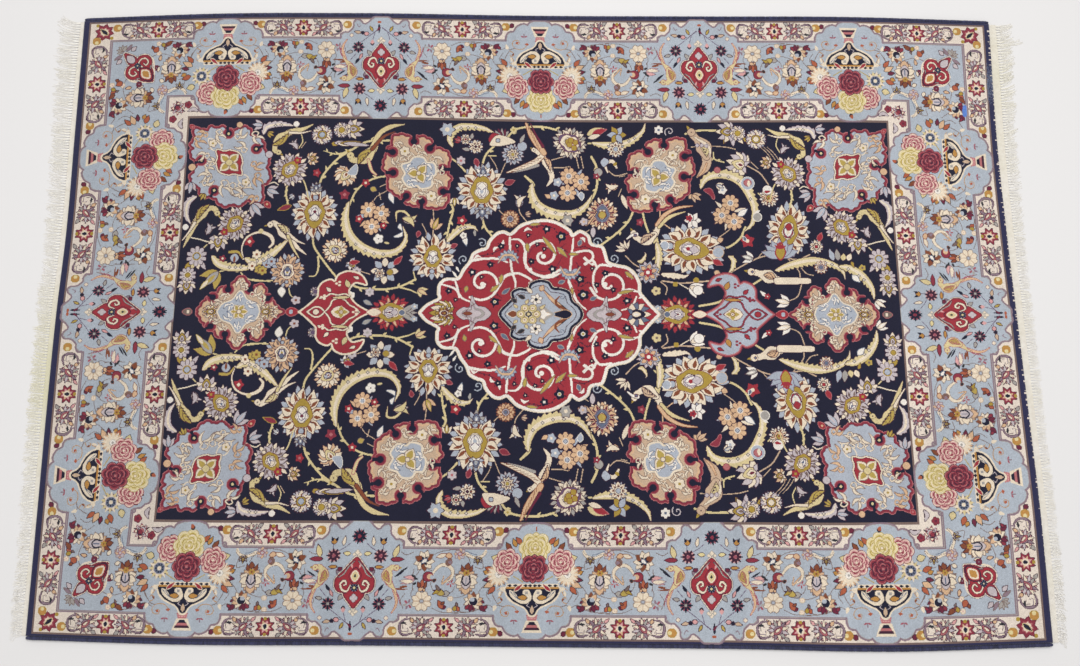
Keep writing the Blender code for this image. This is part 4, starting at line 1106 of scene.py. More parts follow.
each(disc, (100+254j, 7, GREY, PLUM), (232+56j, 4.5, GOLD), (267+63j, 5, GOLD))
each(blossom, (97+247j, 6, CRIMSON, WHITE), (172+165j, 8, CRIMSON, PINK), (355+132j, 13, RED, IVORY, 0.4))
each(daisy, (76+166j, 7, LILAC, PEACH, 5), (186+77j, 8, RED, WHITE, 6, None, None, 0, 0.4),
    (200+44j, 8, STRAW, BROWN, 5), (548+85j, 6, OCHRE, BROWN, 5, None))
each(spray, (256+52j, 280+40j, WHITE, IVORY), (304+232j, 316+226j, IVORY),
    (364+100j, 344+106j, WHITE, GREY))
each(disc, (270+45j, 8, WHITE, PLUM), (358+234j, 11, SKY, WHITE), (358+235j, 6, PINK, CRIMSON),
    (306+258j, 5, PINK, CRIMSON), (373+174j, 7, GREY, WHITE))
leaves([(360+228j, 360+240j, 6, IVORY), (370+182j, 378+186j, 5, WHITE),
    (352+132j, 348+140j, 5, SLATE, WHITE), (296+98j, 312+90j, 9, RED, PINK),
    (304+132j, 314+136j, 9, PEACH, PLUM), (256+212j, 262+208j, 8, PEACH, BROWN),
    (298+78j, 308+74j, 8, PEACH, BROWN), (476+132j, 482+146j, 8, RED, PINK),
    (530+72j, 542+60j, 9, WHITE, SLATE)], None)
each(spray, (262+214j, 276+204j, TAN, PEACH), (566+26j, 582+14j, WHITE, IVORY),
    (422+22j, 398+28j, WHITE, IVORY))
for k in range(4):
    leaf(500 + 98j + 8 * k, 494 + 118j + 12 * k - 8j * (k > 1), 9, (SKY, GREY, STRAW, IVORY)[k], PLUM)
leaves([(530+96j, 534+86j, 5, GOLD), (384+34j, 374+44j, 6, WHITE)])
blossom(386+34j, 6, RED, WHITE)

hold_pen(-209+253j)
tall_panel()
hold_pen(204+251j, -1, True)
tall_panel()
hold_pen(2)

# The great crimson medallion, its arabesques and its grey-blue heart.
rim = [200+2j, 189+15j, 178+29j, 170+40j, 169+56j, 162+72j, 149+84j, 132+88j, 116+94j, 111+107j, 105+121j,
    87+126j, 81+140j, 68+148j, 55+141j, 49+150j, 30+162j, 10+167j, -11+165j, -32+158j, -49+143j, -62+146j,
    -73+143j, -84+131j, -89+118j, -100+114j, -111+107j, -116+94j, -126+80j, -135+64j, -155+62j, -165+53j,
    -166+37j, -165+27j, -184+15j, -195+2j]
whole = rim + [p.conjugate() for p in rim[::-1]]
ribbon(whole, 7.6, IVORY, closed=True)
fill(curve(whole, True), RED)
ribbon(whole, 4.2, WHITE, closed=True)
# dark sprays on the red, under the arabesques
for at, radius, turns, start in ((6+107j, 33, 1.7, 1.8), (-94+57j, 26, -1.3, 2.2),
        (120+56j, 27, -1.4, 2.0)):
    curl(at, radius, turns, WINE, 1.0, start)
for points in ((-160+44j, -140+52j, -128+40j), (-104+104j, -84+108j, -66+116j), (-30+150j, 158j, 26+154j),
        (60+120j, 74+122j, 88+118j), (60+60j, 72+52j, 84+60j, 92+44j), (-60+30j, -72+36j, -84+26j),
        (140+20j, 156+28j, 150+40j), (-20+78j, 6+66j, 34+70j), (44+128j, 38+120j, 48+112j),
        (-44+100j, -36+112j, -40+128j), (62+96j, 68+84j, 64+70j)):
    vine(list(points), 0.9, PLUM, 8, 4)
# cream arabesques and their spirals
each(curl, (6+107j, 40, 1.75, WHITE, 4.6, 0.9), (-94+57j, 33, -1.45, WHITE, 4.4, 0.6),
    (120+56j, 33, -1.5, WHITE, 4.4, 0.2))
for at in (7+105j, -94+55j, 112+56j):
    disc(at, 4.2, WHITE)
for points, widths in (([51+108j, 70+114j, 86+114j, 91+104j, 84+96j, 77+102j], [2, 3, 3, 3, 3, 4]),
        ([57+137j, 55+110j, 53+83j, 51+64j, 53+56j, 65+26j, 81+9j], [2, 3, 3, 3, 4, 3, 2]),
        ([-51+137j, -50+118j, -46+83j, -39+60j, -38+44j], [3, 3, 3, 3, 2]),
        ([-53+94j, -70+100j, -92+100j, -112+97j], [2, 3, 3, 4]), ([-73+37j, -65+53j, -57+69j, -38+75j,
        -24+71j, -11+62j, -16+58j], [2, 3, 4, 4, 3, 3, 2]), ([-48+134j, -36+134j, -26+124j, -23+108j,
        -22+84j], [2, 3, 4, 3, 2]), ([38+77j, 24+70j, 6+68j], [2, 4, 3]),
        ([-163+54j, -140+46j, -128+30j, -112+22j], [2, 3, 3, 2]),
        ([-141+63j, -136+48j, -132+30j], [2, 3, 2]), ([165+34j, 157+15j, 140+8j], [2, 3, 2]),
        ([122+88j, 104+90j, 94+78j, 92+60j, 98+42j], [3, 3, 3, 3, 3]),
        ([170+42j, 152+46j, 138+40j, 130+30j], [2, 4, 4, 2]), ([98+86j, 90+98j, 78+92j], [3, 3, 4])):
    ribbon(points, [wide * 1.35 for wide in widths], WHITE)
for at, way in ((-78+112j, 10+8j), (-62+134j, -8-10j), (68+138j, 8-10j), (-28+148j, 14+2j),
        (-110+100j, 12+2j), (96+96j, -12-2j), (-20+84j, 8-8j), (150+74j, 6-10j)):
    leaf(at, at + way, 5, WHITE, None, 0.3)
for base, tip, wide in ((5+139j, 29+108j, 6), (30+121j, 47+104j, 6), (-22+128j, -19+112j, 6),
        (50+109j, 66+109j, 5), (-62+72j, -64+56j, 6), (-80+42j, -66+54j, 6), (-120+51j, -122+40j, 6),
        (134+40j, 160+45j, 5), (146+78j, 160+66j, 6), (-18+160j, 162j, 4), (56+50j, 58+36j, 4)):
    leaves([(base, tip, wide + 2.6, WHITE), (base, tip, wide, OCHRE, BROWN)], None)
for at, way in ((-52+98j, 1), (53+82j, -1)):
    for k in range(7):
        ray = 1j * way * 18 * np.exp(1j * (k - 3) * 0.42)
        leaf(at + 0.25 * ray, at + ray, 8, SKY, SLATE)
    ribbon([at + way * (-17-5j), at + way * (-9+7j), at + way * 9j, at + way * (9+7j), at + way * (17-5j)],
        [1.4, 3, 4, 3, 1.4], PEACH, SLATE, 0.6)
for spot, size in ((36+140j, 9), (11+153j, 7), (-38+123j, 4), (-4+126j, 4), (-13+96j, 6), (23+83j, 7),
        (-112+76j, 7), (-82+90j, 6), (-65+122j, 6), (-150+42j, 6), (-72+23j, 8), (70+65j, 8), (76+37j, 10),
        (112+76j, 6), (149+26j, 7), (98+55j, 5), (8+118j, 4), (-96+68j, 4), (126+46j, 5), (-20+142j, 4),
        (-138+26j, 4), (90+84j, 4)):
    daisy(spot, size, NAVY, OCHRE if size > 7 else IVORY, 5, None, WHITE if size > 6 else None, share=0.24)
    for k in range(3):
        ray = size * np.exp(1j * (2.1 * k + 0.3))
        leaf(spot + ray * 0.9, spot + ray * 1.5, 1.8, NAVY)
for base, tip in ((34+58j, 44+62j), (66+124j, 70+134j), (-60+38j, -48+48j), (88+28j, 98+33j)):
    leaf(base, tip, 6, SLATE, GREY)
# grey-blue heart
heart = [73, 68+13j, 56+25j, 51+40j, 38+46j, 24+48j, 16+58j, 3+61j, -11+56j, -16+45j, -32+46j, -42+40j,
    -41+29j, -49+19j, -62]
heart = heart + [p.conjugate() for p in heart[-2:0:-1]]
for wide, dye in ((10.0, WINE), (7.6, IVORY), (6.0, NAVY)):
    ribbon(heart, wide, dye, closed=True)
fill(curve(heart, True), SKY)
each(ribbon, (heart, 3.0, NAVY, None, 1, True), ([p * 0.88 for p in heart], 1.2, PLUM, None, 1, True),
    ([8+48j, 14+40j, 24+28j, 38+16j, 52+4j], [1, 5, 7, 7, 6], DARK_LEAF),
    ([10+44j, 20+32j, 34+18j, 48+4j], [1, 5, 6, 4], PEACH, RUST, 0.8),
    ([36+34j, 30+26j, 32+18j, 42+12j, 56+2j], [2, 4, 5, 4, 2], RUST))
each(shape, ([57, 48+8j, 38+6j, 24, 38-6j, 48-8j], NAVY, PEACH, 1.2),
    ([28, 20+7j, 8+16j, -2+12j, -2-12j, 8-16j, 20-7j], GREY, SKY),
    ([22, 14+4j, 10+9j, 4+5j, 0j, 4-5j, 10-9j, 14-4j], WHITE, PEACH, 0.7))
each(curl, (40+33j, 6, 1.2, SLATE, 1.2, 0.5), (-26+34j, 6, 1.2, SLATE, 1.2, 2.5))
for at, way in ((-22+30j, -12+6j), (-10+40j, -10+10j), (-36+22j, -8+8j)):
    leaf(at, at + way, 6, DARK_LEAF if at.imag < 35 else IVORY, BROWN)
leaves([(4+44j, 8+54j, 8, PEACH), (-34, -51, 12, RUST, IVORY)], RUST)
corolla(-3+28j, 11, 6, [WHITE], BROWN, 0.62, 0.3)
disc(-3+28j, 3, NAVY, IVORY)
for k in range(6):
    petal = -15 + 13 * np.exp(1j * FULL_TURN * k / 6)
    each(disc, (petal, 7, STRAW, BROWN), (petal, 4, IVORY, OCHRE, 1.2))
    leaf(petal - 2, petal + 2, 2.4, RUST)
each(disc, (-15, 5.6, NAVY, IVORY, 0.8), (-15, 3, STRAW))
for at, way in ((-34+12j, -6+6j), (4+10j, 8+8j), (-20+20j, 4+8j)):
    leaf(at, at + way, 5, STRAW, BROWN)
# lilac lotuses on the middle line, and one in each tip
for at, way in ((-108, -1), (112, 1)):
    flame_side = [28, 18+11j, 6+13j, 3+34j, -6+16j, -20+12j, -30]
    outline = flame_side + [p.conjugate() for p in flame_side[-2:0:-1]]
    shape([at + way * p.real + 1j * p.imag for p in outline], LILAC, PLUM)
    for size, dye in ((0.66, GREY), (0.46, LILAC)):
        shape([at + way * size * p.real + 1j * size * p.imag for p in outline], dye, MAUVE, 0.7)
    leaf(at + way * 2, at + way * 17, 7, RUST, WINE)
    for side in (1, -1):
        ribbon([at - way * 4 + 20j * side, at + way * 6 + 12j * side, at + way * 12 + 4j * side], 0.8, WINE)
each(half_lotus, (-144, -182, IVORY, GOLD, RUST, IVORY, 11), (154, 190, IVORY, SLATE, NAVY, WHITE))
lotus(-156, -170, 7, GOLD, RUST, IVORY, IVORY, RUST, GOLD)
# curls outside the rim
for at, start, way in ((-98+127j, 0.4, 1), (-128+98j, 2.2, 1), (97+130j, 2.0, -1), (126+101j, 0.8, -1)):
    curl(at, 8.5, 1.3 * way, SKY, 1.8, start)
for base, tip in ((-137+66j, -146+78j), (-140+86j, -134+76j), (168+30j, 178+36j)):
    leaf(base, tip, 4, WHITE)

for turn, flip in ((1, False), (-1, True)):
    hold_pen(0, turn, flip)
    field_end()
hold_pen(0, -1, True)
pendant(RED, IVORY, None, (STRAW, PINK, IVORY, IVORY))
hold_pen(0)
pendant(SKY, CRIMSON, PINK, (AMBER, CRIMSON, RED, RED))
for x, dye, heart in ((-272, IVORY, PINK), (272, IVORY, RED)):
    hold_pen(x)
    shape([12, 7j, -12, -7j], dye, heart)
chart[:MID_ROW] = chart[MID_ROW:][::-1]
field = np.s_[MID_ROW - FIELD_WIDE:MID_ROW + FIELD_WIDE, MID_COLUMN - FIELD_LONG:MID_COLUMN + FIELD_LONG]
border[field] = chart[field]
chart[:] = border

# Wear: knots are gone from the rim at the right end, more towards the far corner, where its navy
# has faded too. Beside it a spot was knotted anew in a brighter blue.
FIRST_WORN, LAST_WORN = 120, 1050       # rows of knots
FIRST_FADED, LAST_FADED, FADED_WIDE = 912, 992, 12
draw = random.Random(7)
row = FIRST_WORN
while row < LAST_WORN:
    chart[row:row + draw.randint(1, 3), KNOTS_LONG - draw.randint(1, 3 + row // 350):] = CREAM
    row += draw.randint(4, 13 - row // 200)
hold_pen()
shape([741 + 362j, 743 + 379j, 749 + 378j, 748 + 360j], MENDED)
for row in range(FIRST_FADED, LAST_FADED):
    for column in range(KNOTS_LONG - FADED_WIDE, KNOTS_LONG):
        if draw.random() < 0.55 * math.sin(math.pi * (row - FIRST_FADED) / (LAST_FADED - FIRST_FADED)):
            chart[row, column] = SLATE


# ---- The knotted cloth ----
# One hand-knotted cloth: wool knots in rows on cotton warps that run the length
# of the rug. It is made here as four lengthwise bands that meet edge to edge,
# and each face of a band carries the dyes of its sixteen knots.
HALF_LONG, HALF_WIDE = KNOTS_LONG / 2, KNOTS_WIDE / 2       # in mm, as a knot is 1 mm
EVEN_HALF_WIDE = 537.5                                      # with its side cords, on average
REACH_LONG, REACH_WIDE = 858.0, 543.0                       # the part's own reach from its middle
CORD_WIDE, SEAM = 6.0, 0.3
JOIN_Y = 340                                                # where a border band meets a field band
FACE_KNOTS = 4                                              # knots along each side of a face
DIGIT = 32.0                                                # a channel holds its dyes as digits of this base
LONG_EDGES = [              # x, far edge, near edge
    (-800, 531.0, 529.5), (-550, 541.5, 536.0), (-300, 543.0, 536.2), (0, 538.8, 538.0),
    (300, 538.6, 539.6), (550, 538.4, 543.0), (800, 531.0, 534.7),
]
SHORT_EDGES = [             # y, left edge, right edge
    (-530, 796.0, 804.5), (-340, 798.5, 805.0), (-175, 800.6, 801.6), (-10, 801.6, 798.2),
    (155, 799.2, 794.6), (320, 802.2, 793.2), (530, 806.0, 798.4),
]

# The weave isn't square: how far the knots lie from their even places, in mm.
DRIFT_SIDE = 550            # x of the left and right columns
DRIFT_ALONG = [             # y on the loom, then at the left, in the middle and at the right
    (-532, -12, -12, -7), (-436, -11, -10, -5), (-340, -4, -3, -5), (-200, 0, -2, -4), (-50, 3, -1, -1),
    (90, 3, 2, 1), (230, 4, 7, 3), (376, 5, 9, 5), (532, 3, 5, 3),
]
DRIFT_ACROSS = [
    (-532, 0, 0, 0), (-450, -3, -2, 3), (-374, -2, -2, 4), (-180, -4, -1, 2), (-40, -4, -3, 0),
    (30, -9, -10, -6), (90, -12, -12, -8), (230, -7, -11, -7), (376, -6, -9, -7), (452, -1, -4, -3),
    (532, 0, 0, 0),
]


def read_smoothly(rows, place, column):
    """The column's value at each place, on a smooth curve through the rows."""
    keys = np.array([row[0] for row in rows], float)
    values = np.array([row[column] for row in rows], float)
    place = np.clip(np.asarray(place, float), keys[0], keys[-1])
    last = len(rows) - 1
    low = np.maximum(np.arange(last + 1) - 1, 0)
    high = np.minimum(np.arange(last + 1) + 1, last)
    slope = (values[high] - values[low]) / (keys[high] - keys[low])
    i = np.clip(np.searchsorted(keys, place) - 1, 0, last - 1)
    step = keys[i + 1] - keys[i]
    t = (place - keys[i]) / step
    rise = 3 * t * t - 2 * t ** 3
    start_pull = slope[i] * step * (t - 2 * t * t + t ** 3)
    end_pull = slope[i + 1] * step * (t ** 3 - t * t)
    return values[i] * (1 - rise) + values[i + 1] * rise + start_pull + end_pull


def far_edge(x):
    """Y of the rug's far edge, with its cord. The three below are the same for the other edges."""
    return np.minimum(read_smoothly(LONG_EDGES, x, 1), REACH_WIDE)


def near_edge(x):
    return -np.minimum(read_smoothly(LONG_EDGES, x, 2), REACH_WIDE)


def left_edge(y):
    return -read_smoothly(SHORT_EDGES, y, 1)


def right_edge(y):
    return read_smoothly(SHORT_EDGES, y, 2)


def drift(rows, flat_x, flat_y):
    """The drift at each place: the three columns of its table, blended along the rug."""
    left, middle, right = (read_smoothly(rows, flat_y, column) for column in (1, 2, 3))
    share = np.clip(np.asarray(flat_x) / DRIFT_SIDE, -1, 1)
    return middle + (right - left) / 2 * share + ((right + left) / 2 - middle) * share ** 2


def cloth_place(flat_x, flat_y):
    """Where a point of the cloth, as it was on the loom, lies on the floor."""
    long_share = (flat_x + HALF_LONG) / (2 * HALF_LONG)
    wide_share = (flat_y + HALF_WIDE) / (2 * HALF_WIDE)
    wide_y = (2 * wide_share - 1) * EVEN_HALF_WIDE
    x = left_edge(wide_y) * (1 - long_share) + right_edge(wide_y) * long_share
    low = near_edge(flat_x) + CORD_WIDE + SEAM
    high = far_edge(flat_x) - CORD_WIDE - SEAM
    x = x + drift(DRIFT_ALONG, flat_x, flat_y) * (1 - (flat_x / HALF_LONG) ** 6)
    return x, low * (1 - wide_share) + high * wide_share + drift(DRIFT_ACROSS, flat_x, flat_y)


def pile_height(x, y, flat_x, flat_y):
    """The pile's top: it swells slowly, and is clipped round at its rim."""
    slow = np.sin(x / 173) * np.sin(y / 121) + np.sin((x + 2 * y) / 219)
    inset = np.minimum(REACH_WIDE - abs(y), REACH_LONG - abs(x))
    slow = 0.35 * slow * np.clip(inset / 120, 0, 1)
    to_rim = np.minimum(HALF_LONG - abs(flat_x), HALF_WIDE - abs(flat_y))
    rounding = 1.4 * np.clip(1 - to_rim / 1.6, 0, 1) ** 2
    uneven = 0.08 * np.sin(flat_x * 1.7 + 3 * np.sin(flat_y * 0.9)) * np.sin(flat_y * 2.3)
    return 6.0 + slow - rounding + uneven * (to_rim > 2)


def grid_lines(start, end, rims):
    """Lines between the faces from start to end, and two more close to each rim."""
    lines = list(np.arange(start, end + 1, FACE_KNOTS))
    for rim in rims:
        inward = -math.copysign(1, rim)
        lines += [rim + inward * 0.6, rim + inward * 1.6]
    return np.array(sorted(lines))


packed = np.zeros((KNOTS_WIDE // FACE_KNOTS, KNOTS_LONG // FACE_KNOTS, FACE_KNOTS))
for row in range(FACE_KNOTS):
    for column in range(FACE_KNOTS):
        packed[:, :, row] += chart[row::FACE_KNOTS, column::FACE_KNOTS] * DIGIT ** column


def to_linear(hex_colour):
    """An sRGB hex colour as the linear numbers that a shader takes."""
    parts = [int(hex_colour[k:k + 2], 16) / 255 for k in (0, 2, 4)]
    linear = [c / 12.92 if c <= 0.04045 else ((c + 0.055) / 1.055) ** 2.4 for c in parts]
    return (*linear, 1.0)


def add_node(material, kind, links=None, **settings):
    """A shader node with its settings; links gives each input its source or its value."""
    node = material.node_tree.nodes.new("ShaderNode" + kind)
    for name, value in settings.items():
        setattr(node, name, value)
    for name, source in (links or {}).items():
        if isinstance(source, bpy.types.NodeSocket):
            material.node_tree.links.new(source, node.inputs[name])
        else:
            node.inputs[name].default_value = source
    return node


def knot_dye(material):
    """The dye of the knot at each point, and the knot's own place."""
    weave = add_node(material, "UVMap", uv_map="weave")
    place = add_node(material, "SeparateXYZ", {"Vector": weave.outputs[0]})
    knots = add_node(material, "Attribute", attribute_name="knots")
    channels = add_node(material, "SeparateColor", {"Color": knots.outputs["Color"]})
    single = add_node(material, "VectorMath", {0: weave.outputs[0]}, operation="FLOOR")
    chance = add_node(material, "TexWhiteNoise", {"Vector": single.outputs[0]}, noise_dimensions="2D")
    along = add_node(material, "Math", {0: place.outputs["X"], 1: 0.03}, operation="MULTIPLY")
    row_shade = add_node(material, "TexNoise", {"W": along.outputs[0], "Scale": 1.0, "Detail": 4.0},
        noise_dimensions="1D")
    body = add_node(material, "TexCoord")
    cloud = add_node(material, "TexNoise", {"Vector": body.outputs["Object"], "Scale": 5.0, "Detail": 5.0})
    # Sixteen knots share a face: its four channels are the rows, and each holds four dye numbers.
    # Then the shade: no two knots took the dye alike, the yarn changed between dyeings, and the
    # colour grows a little lighter along the rug towards its right end.
    known = {"x": place.outputs["X"], "y": place.outputs["Y"], "A": channels.outputs[0],
             "B": channels.outputs[1], "C": channels.outputs[2], "D": knots.outputs["Alpha"],
             "chance": chance.outputs["Value"], "row_shade": row_shade.outputs[0], "cloud": cloud.outputs[0]}
    for name, operation, *parts in (
            ("x4", "MODULO", "x", 4.0), ("column", "FLOOR", "x4"), ("y4", "MODULO", "y", 4.0),
            ("row", "FLOOR", "y4"),
            ("is0", "COMPARE", "row", 0.0, 0.5), ("is1", "COMPARE", "row", 1.0, 0.5),
            ("is2", "COMPARE", "row", 2.0, 0.5), ("is3", "COMPARE", "row", 3.0, 0.5),
            ("sum0", "MULTIPLY_ADD", "A", "is0", 0.5), ("sum1", "MULTIPLY_ADD", "B", "is1", "sum0"),
            ("sum2", "MULTIPLY_ADD", "C", "is2", "sum1"), ("sum3", "MULTIPLY_ADD", "D", "is3", "sum2"),
            ("late", "GREATER_THAN", "column", 1.5),
            ("by1024", "MULTIPLY_ADD", "late", DIGIT ** -2 - 1, 1.0),
            ("odd", "MODULO", "column", 2.0), ("by32", "MULTIPLY_ADD", "odd", 1 / DIGIT - 1, 1.0),
            ("half", "MULTIPLY", "sum3", "by1024"), ("whole", "MULTIPLY", "half", "by32"),
            ("digit", "MODULO", "whole", DIGIT), ("number", "FLOOR", "digit"),
            ("share", "MULTIPLY_ADD", "number", 1 / DIGIT, 0.5 / DIGIT),
            ("own", "MULTIPLY_ADD", "chance", 0.3, 0.85),
            ("dyeing", "MULTIPLY_ADD", "row_shade", 0.22, 0.89),
            ("wear", "MULTIPLY_ADD", "cloud", 0.3, 0.85), ("both", "MULTIPLY", "own", "dyeing"),
            # a slow lightening along x, the colour times 0.93 at the left end up to 1.09 at the right
            ("lighter_to_right", "MULTIPLY_ADD", "x", 0.16 / KNOTS_LONG, 0.93), ("all3", "MULTIPLY", "both", "wear"),
            ("shade", "MULTIPLY", "all3", "lighter_to_right")):
        links = {k: known.get(part, part) for k, part in enumerate(parts)}
        known[name] = add_node(material, "Math", links, operation=operation).outputs[0]
    ramp = add_node(material, "ValToRGB", {"Fac": known["share"]})
    ramp.color_ramp.interpolation = "CONSTANT"
    stops = ramp.color_ramp.elements
    while len(stops) < len(DYES):
        stops.new(len(stops) / DIGIT)
    for k, dye in DYES.items():
        stops[k].position = k / DIGIT
        stops[k].color = to_linear(dye)
    yarn = add_node(material, "VectorMath", {0: ramp.outputs["Color"], "Scale": known["shade"]},
        operation="SCALE")
    return yarn.outputs[0], place, body


def knot_bump(material, shader, place, body, tall, fibre):
    """Rounded knots 1 mm apart, with fine fibres over them."""
    fuzz = add_node(material, "TexNoise", {"Vector": body.outputs["Object"], "Scale": 1800.0, "Detail": 3.0})
    known = {"x": place.outputs["X"], "y": place.outputs["Y"], "fuzz": fuzz.outputs[0]}
    for name, operation, *parts in (
            ("turn_x", "MULTIPLY", "x", math.pi), ("turn_y", "MULTIPLY", "y", math.pi),
            ("wave_x", "SINE", "turn_x"), ("wave_y", "SINE", "turn_y"),
            ("both", "MULTIPLY", "wave_x", "wave_y"),
            ("dome", "ABSOLUTE", "both"), ("height", "MULTIPLY_ADD", "fuzz", fibre, "dome")):
        links = {k: known.get(part, part) for k, part in enumerate(parts)}
        known[name] = add_node(material, "Math", links, operation=operation).outputs[0]
    bump = add_node(material, "Bump", {"Height": known["height"], "Strength": 0.7, "Distance": tall})
    material.node_tree.links.new(bump.outputs["Normal"], shader.inputs["Normal"])


def new_material(name, values):
    """A material and its shader, with these values on the shader's own inputs."""
    material = bpy.data.materials.new(name)
    material.use_nodes = True
    shader = material.node_tree.nodes["Principled BSDF"]
    for socket, value in values.items():
        shader.inputs[socket].default_value = value
    return material, shader


# Cut wool pile: dull, with the soft sheen of clipped fibre ends.
pile_wool, wool_shader = new_material("cut_pile_wool", {
    "Roughness": 0.92, "IOR": 1.45, "Specular IOR Level": 0.25, "Sheen Weight": 0.25,
    "Sheen Roughness": 0.45})
yarn, place, body = knot_dye(pile_wool)
pile_wool.node_tree.links.new(yarn, wool_shader.inputs["Base Color"])
knot_bump(pile_wool, wool_shader, place, body, 0.0004, 0.7)

# The back: the same knots seen from below, hard and flat, with cotton wefts between their rows.
knotted_back, back_shader = new_material("knotted_back_wool_on_cotton", {"Roughness": 0.85})
yarn, place, body = knot_dye(knotted_back)
between_rows = add_node(knotted_back, "Math", {0: place.outputs["X"]}, operation="FRACT")
weft_shows = add_node(knotted_back, "Math", {0: between_rows.outputs[0], 1: 0.2}, operation="LESS_THAN")
back_yarn = add_node(knotted_back, "Mix", {
    "Factor": weft_shows.outputs[0], 6: yarn, 7: to_linear("b8b2a6")}, data_type="RGBA")
knotted_back.node_tree.links.new(back_yarn.outputs[2], back_shader.inputs["Base Color"])
knot_bump(knotted_back, back_shader, place, body, 0.0003, 0.3)


def add_grid(name, cells_x, cells_y, slab=True):
    """A square grid to be shaped after; a slab has a top, a bottom and walls between them."""
    bpy.ops.mesh.primitive_grid_add(x_subdivisions=cells_x, y_subdivisions=cells_y, size=1)
    piece = bpy.context.object
    piece.name = name
    if slab:
        bpy.ops.object.mode_set(mode="EDIT")
        bpy.ops.mesh.select_all(action="SELECT")
        bpy.ops.mesh.extrude_region_move(TRANSFORM_OT_translate={"value": (0, 0, 1)})
        bpy.ops.object.mode_set(mode="OBJECT")
    places = np.empty(len(piece.data.vertices) * 3)
    piece.data.vertices.foreach_get("co", places)
    return piece, places.reshape(-1, 3)


def lay_out(mesh, x, y, z):
    """Move each vertex to its place, given in mm."""
    mesh.vertices.foreach_set("co", (np.stack([x, y, z], 1) * MM).ravel())


def smooth_off(angle):
    """Turn the new piece's faces outwards, and smooth each edge that bends less than the angle."""
    bpy.ops.object.mode_set(mode="EDIT")
    bpy.ops.mesh.select_all(action="SELECT")
    bpy.ops.mesh.normals_make_consistent(inside=False)
    bpy.ops.object.mode_set(mode="OBJECT")
    bpy.ops.object.shade_smooth_by_angle(angle=math.radians(angle))
    bpy.ops.object.select_all(action="DESELECT")


BANDS = [("pile_near_border", -HALF_WIDE, -JOIN_Y), ("pile_near_field", -JOIN_Y, 0),
         ("pile_far_field", 0, JOIN_Y), ("pile_far_border", JOIN_Y, HALF_WIDE)]
for name, y_low, y_high in BANDS:
    x_lines = grid_lines(-HALF_LONG, HALF_LONG, (-HALF_LONG, HALF_LONG))
    y_lines = grid_lines(y_low, y_high, [y for y in (y_low, y_high) if abs(y) == HALF_WIDE])
    cells_x, cells_y = len(x_lines) - 1, len(y_lines) - 1
    band, places = add_grid(name, cells_x, cells_y)
    mesh = band.data
    flat_x = x_lines[np.rint((places[:, 0] + 0.5) * cells_x).astype(int)]
    flat_y = y_lines[np.rint((places[:, 1] + 0.5) * cells_y).astype(int)]
    on_top = places[:, 2] > 0.5
    x, y = cloth_place(flat_x, flat_y)
    z = np.where(on_top, pile_height(x, y, flat_x, flat_y), 0.0)
    lay_out(mesh, x, y, z)

    corner_vertex = np.empty(len(mesh.loops), np.int32)
    mesh.loops.foreach_get("vertex_index", corner_vertex)
    corners = corner_vertex.reshape(-1, 4)
    face_x, face_y = flat_x[corners].mean(1), flat_y[corners].mean(1)
    backs = ~on_top[corners].any(1)
    cell_x = np.clip((face_x + HALF_LONG) // FACE_KNOTS, 0, packed.shape[1] - 1).astype(int)
    cell_y = np.clip((face_y + HALF_WIDE) // FACE_KNOTS, 0, packed.shape[0] - 1).astype(int)
    knots = mesh.attributes.new("knots", "FLOAT_COLOR", "FACE")
    knots.data.foreach_set("color", packed[cell_y, cell_x].ravel())
    weave_map = mesh.uv_layers.new(name="weave")
    corner_x, corner_y = flat_x[corner_vertex], flat_y[corner_vertex]
    weave_map.data.foreach_set("uv", np.stack([corner_x + HALF_LONG, corner_y + HALF_WIDE], 1).ravel())
    # the bake's own map: the top in two halves, one over the other, and the back's halves above
    bake_map = mesh.uv_layers.new(name="OFBake")
    on_left = np.repeat(face_x < 0, 4)
    is_back = np.repeat(backs, 4)
    along = (corner_x + HALF_LONG * on_left) / HALF_LONG
    across = (corner_y - y_low) / (y_high - y_low)
    u = np.where(is_back, 0.01 + 0.48 * along + 0.5 * ~on_left, 0.01 + 0.98 * along)
    v = np.where(is_back, 0.75 + 0.24 * across, 0.01 + 0.36 * across + 0.37 * ~on_left)
    bake_map.data.foreach_set("uv", np.stack([u, v], 1).ravel())
    mesh.uv_layers.active = mesh.uv_layers["weave"]
    band.data.materials.append(pile_wool)
    band.data.materials.append(knotted_back)
    mesh.polygons.foreach_set("material_index", backs.astype(np.int32))
    smooth_off(50)
    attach(band, "root")
    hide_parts("rug_body")


# ---- The overcast side cords ----
# Down each long side the outermost warps are bound into a cord: navy wool is
# wrapped round and round them, one turn close beside the next.
WRAP_PITCH, RINGS_PER_WRAP = 2.6, 4
CORD_HIGH, CORD_SIDES = 5.4, 8
CORD_HALF = (CORD_WIDE + SEAM - 0.1) / 2


def set_ramp(ramp, *stops):
    """The place and the colour of each stop of a colour ramp."""
    for stop, (position, colour) in zip(ramp.color_ramp.elements, stops):
        stop.position, stop.color = position, to_linear(colour)


# Wrapped wool yarn: dull, its fibres running round the cord, no two turns quite alike.
cord_wool, cord_shader = new_material("overcast_wool_yarn", {"Roughness": 0.88, "Sheen Weight": 0.15})
body = add_node(cord_wool, "TexCoord")
turns = add_node(cord_wool, "Mapping", {"Vector": body.outputs["Object"], "Scale": (400, 40, 40)})
tone = add_node(cord_wool, "TexNoise", {"Vector": turns.outputs[0], "Scale": 1.0, "Detail": 2.0})
ramp = add_node(cord_wool, "ValToRGB", {"Fac": tone.outputs[0]})
set_ramp(ramp, (0.3, "1b1d34"), (0.75, "3b3d60"))
cord_wool.node_tree.links.new(ramp.outputs["Color"], cord_shader.inputs["Base Color"])
fibres = add_node(cord_wool, "TexNoise", {"Vector": turns.outputs[0], "Scale": 8.0, "Detail": 3.0})
bump = add_node(cord_wool, "Bump", {"Height": fibres.outputs[0], "Strength": 0.5, "Distance": 0.0004})
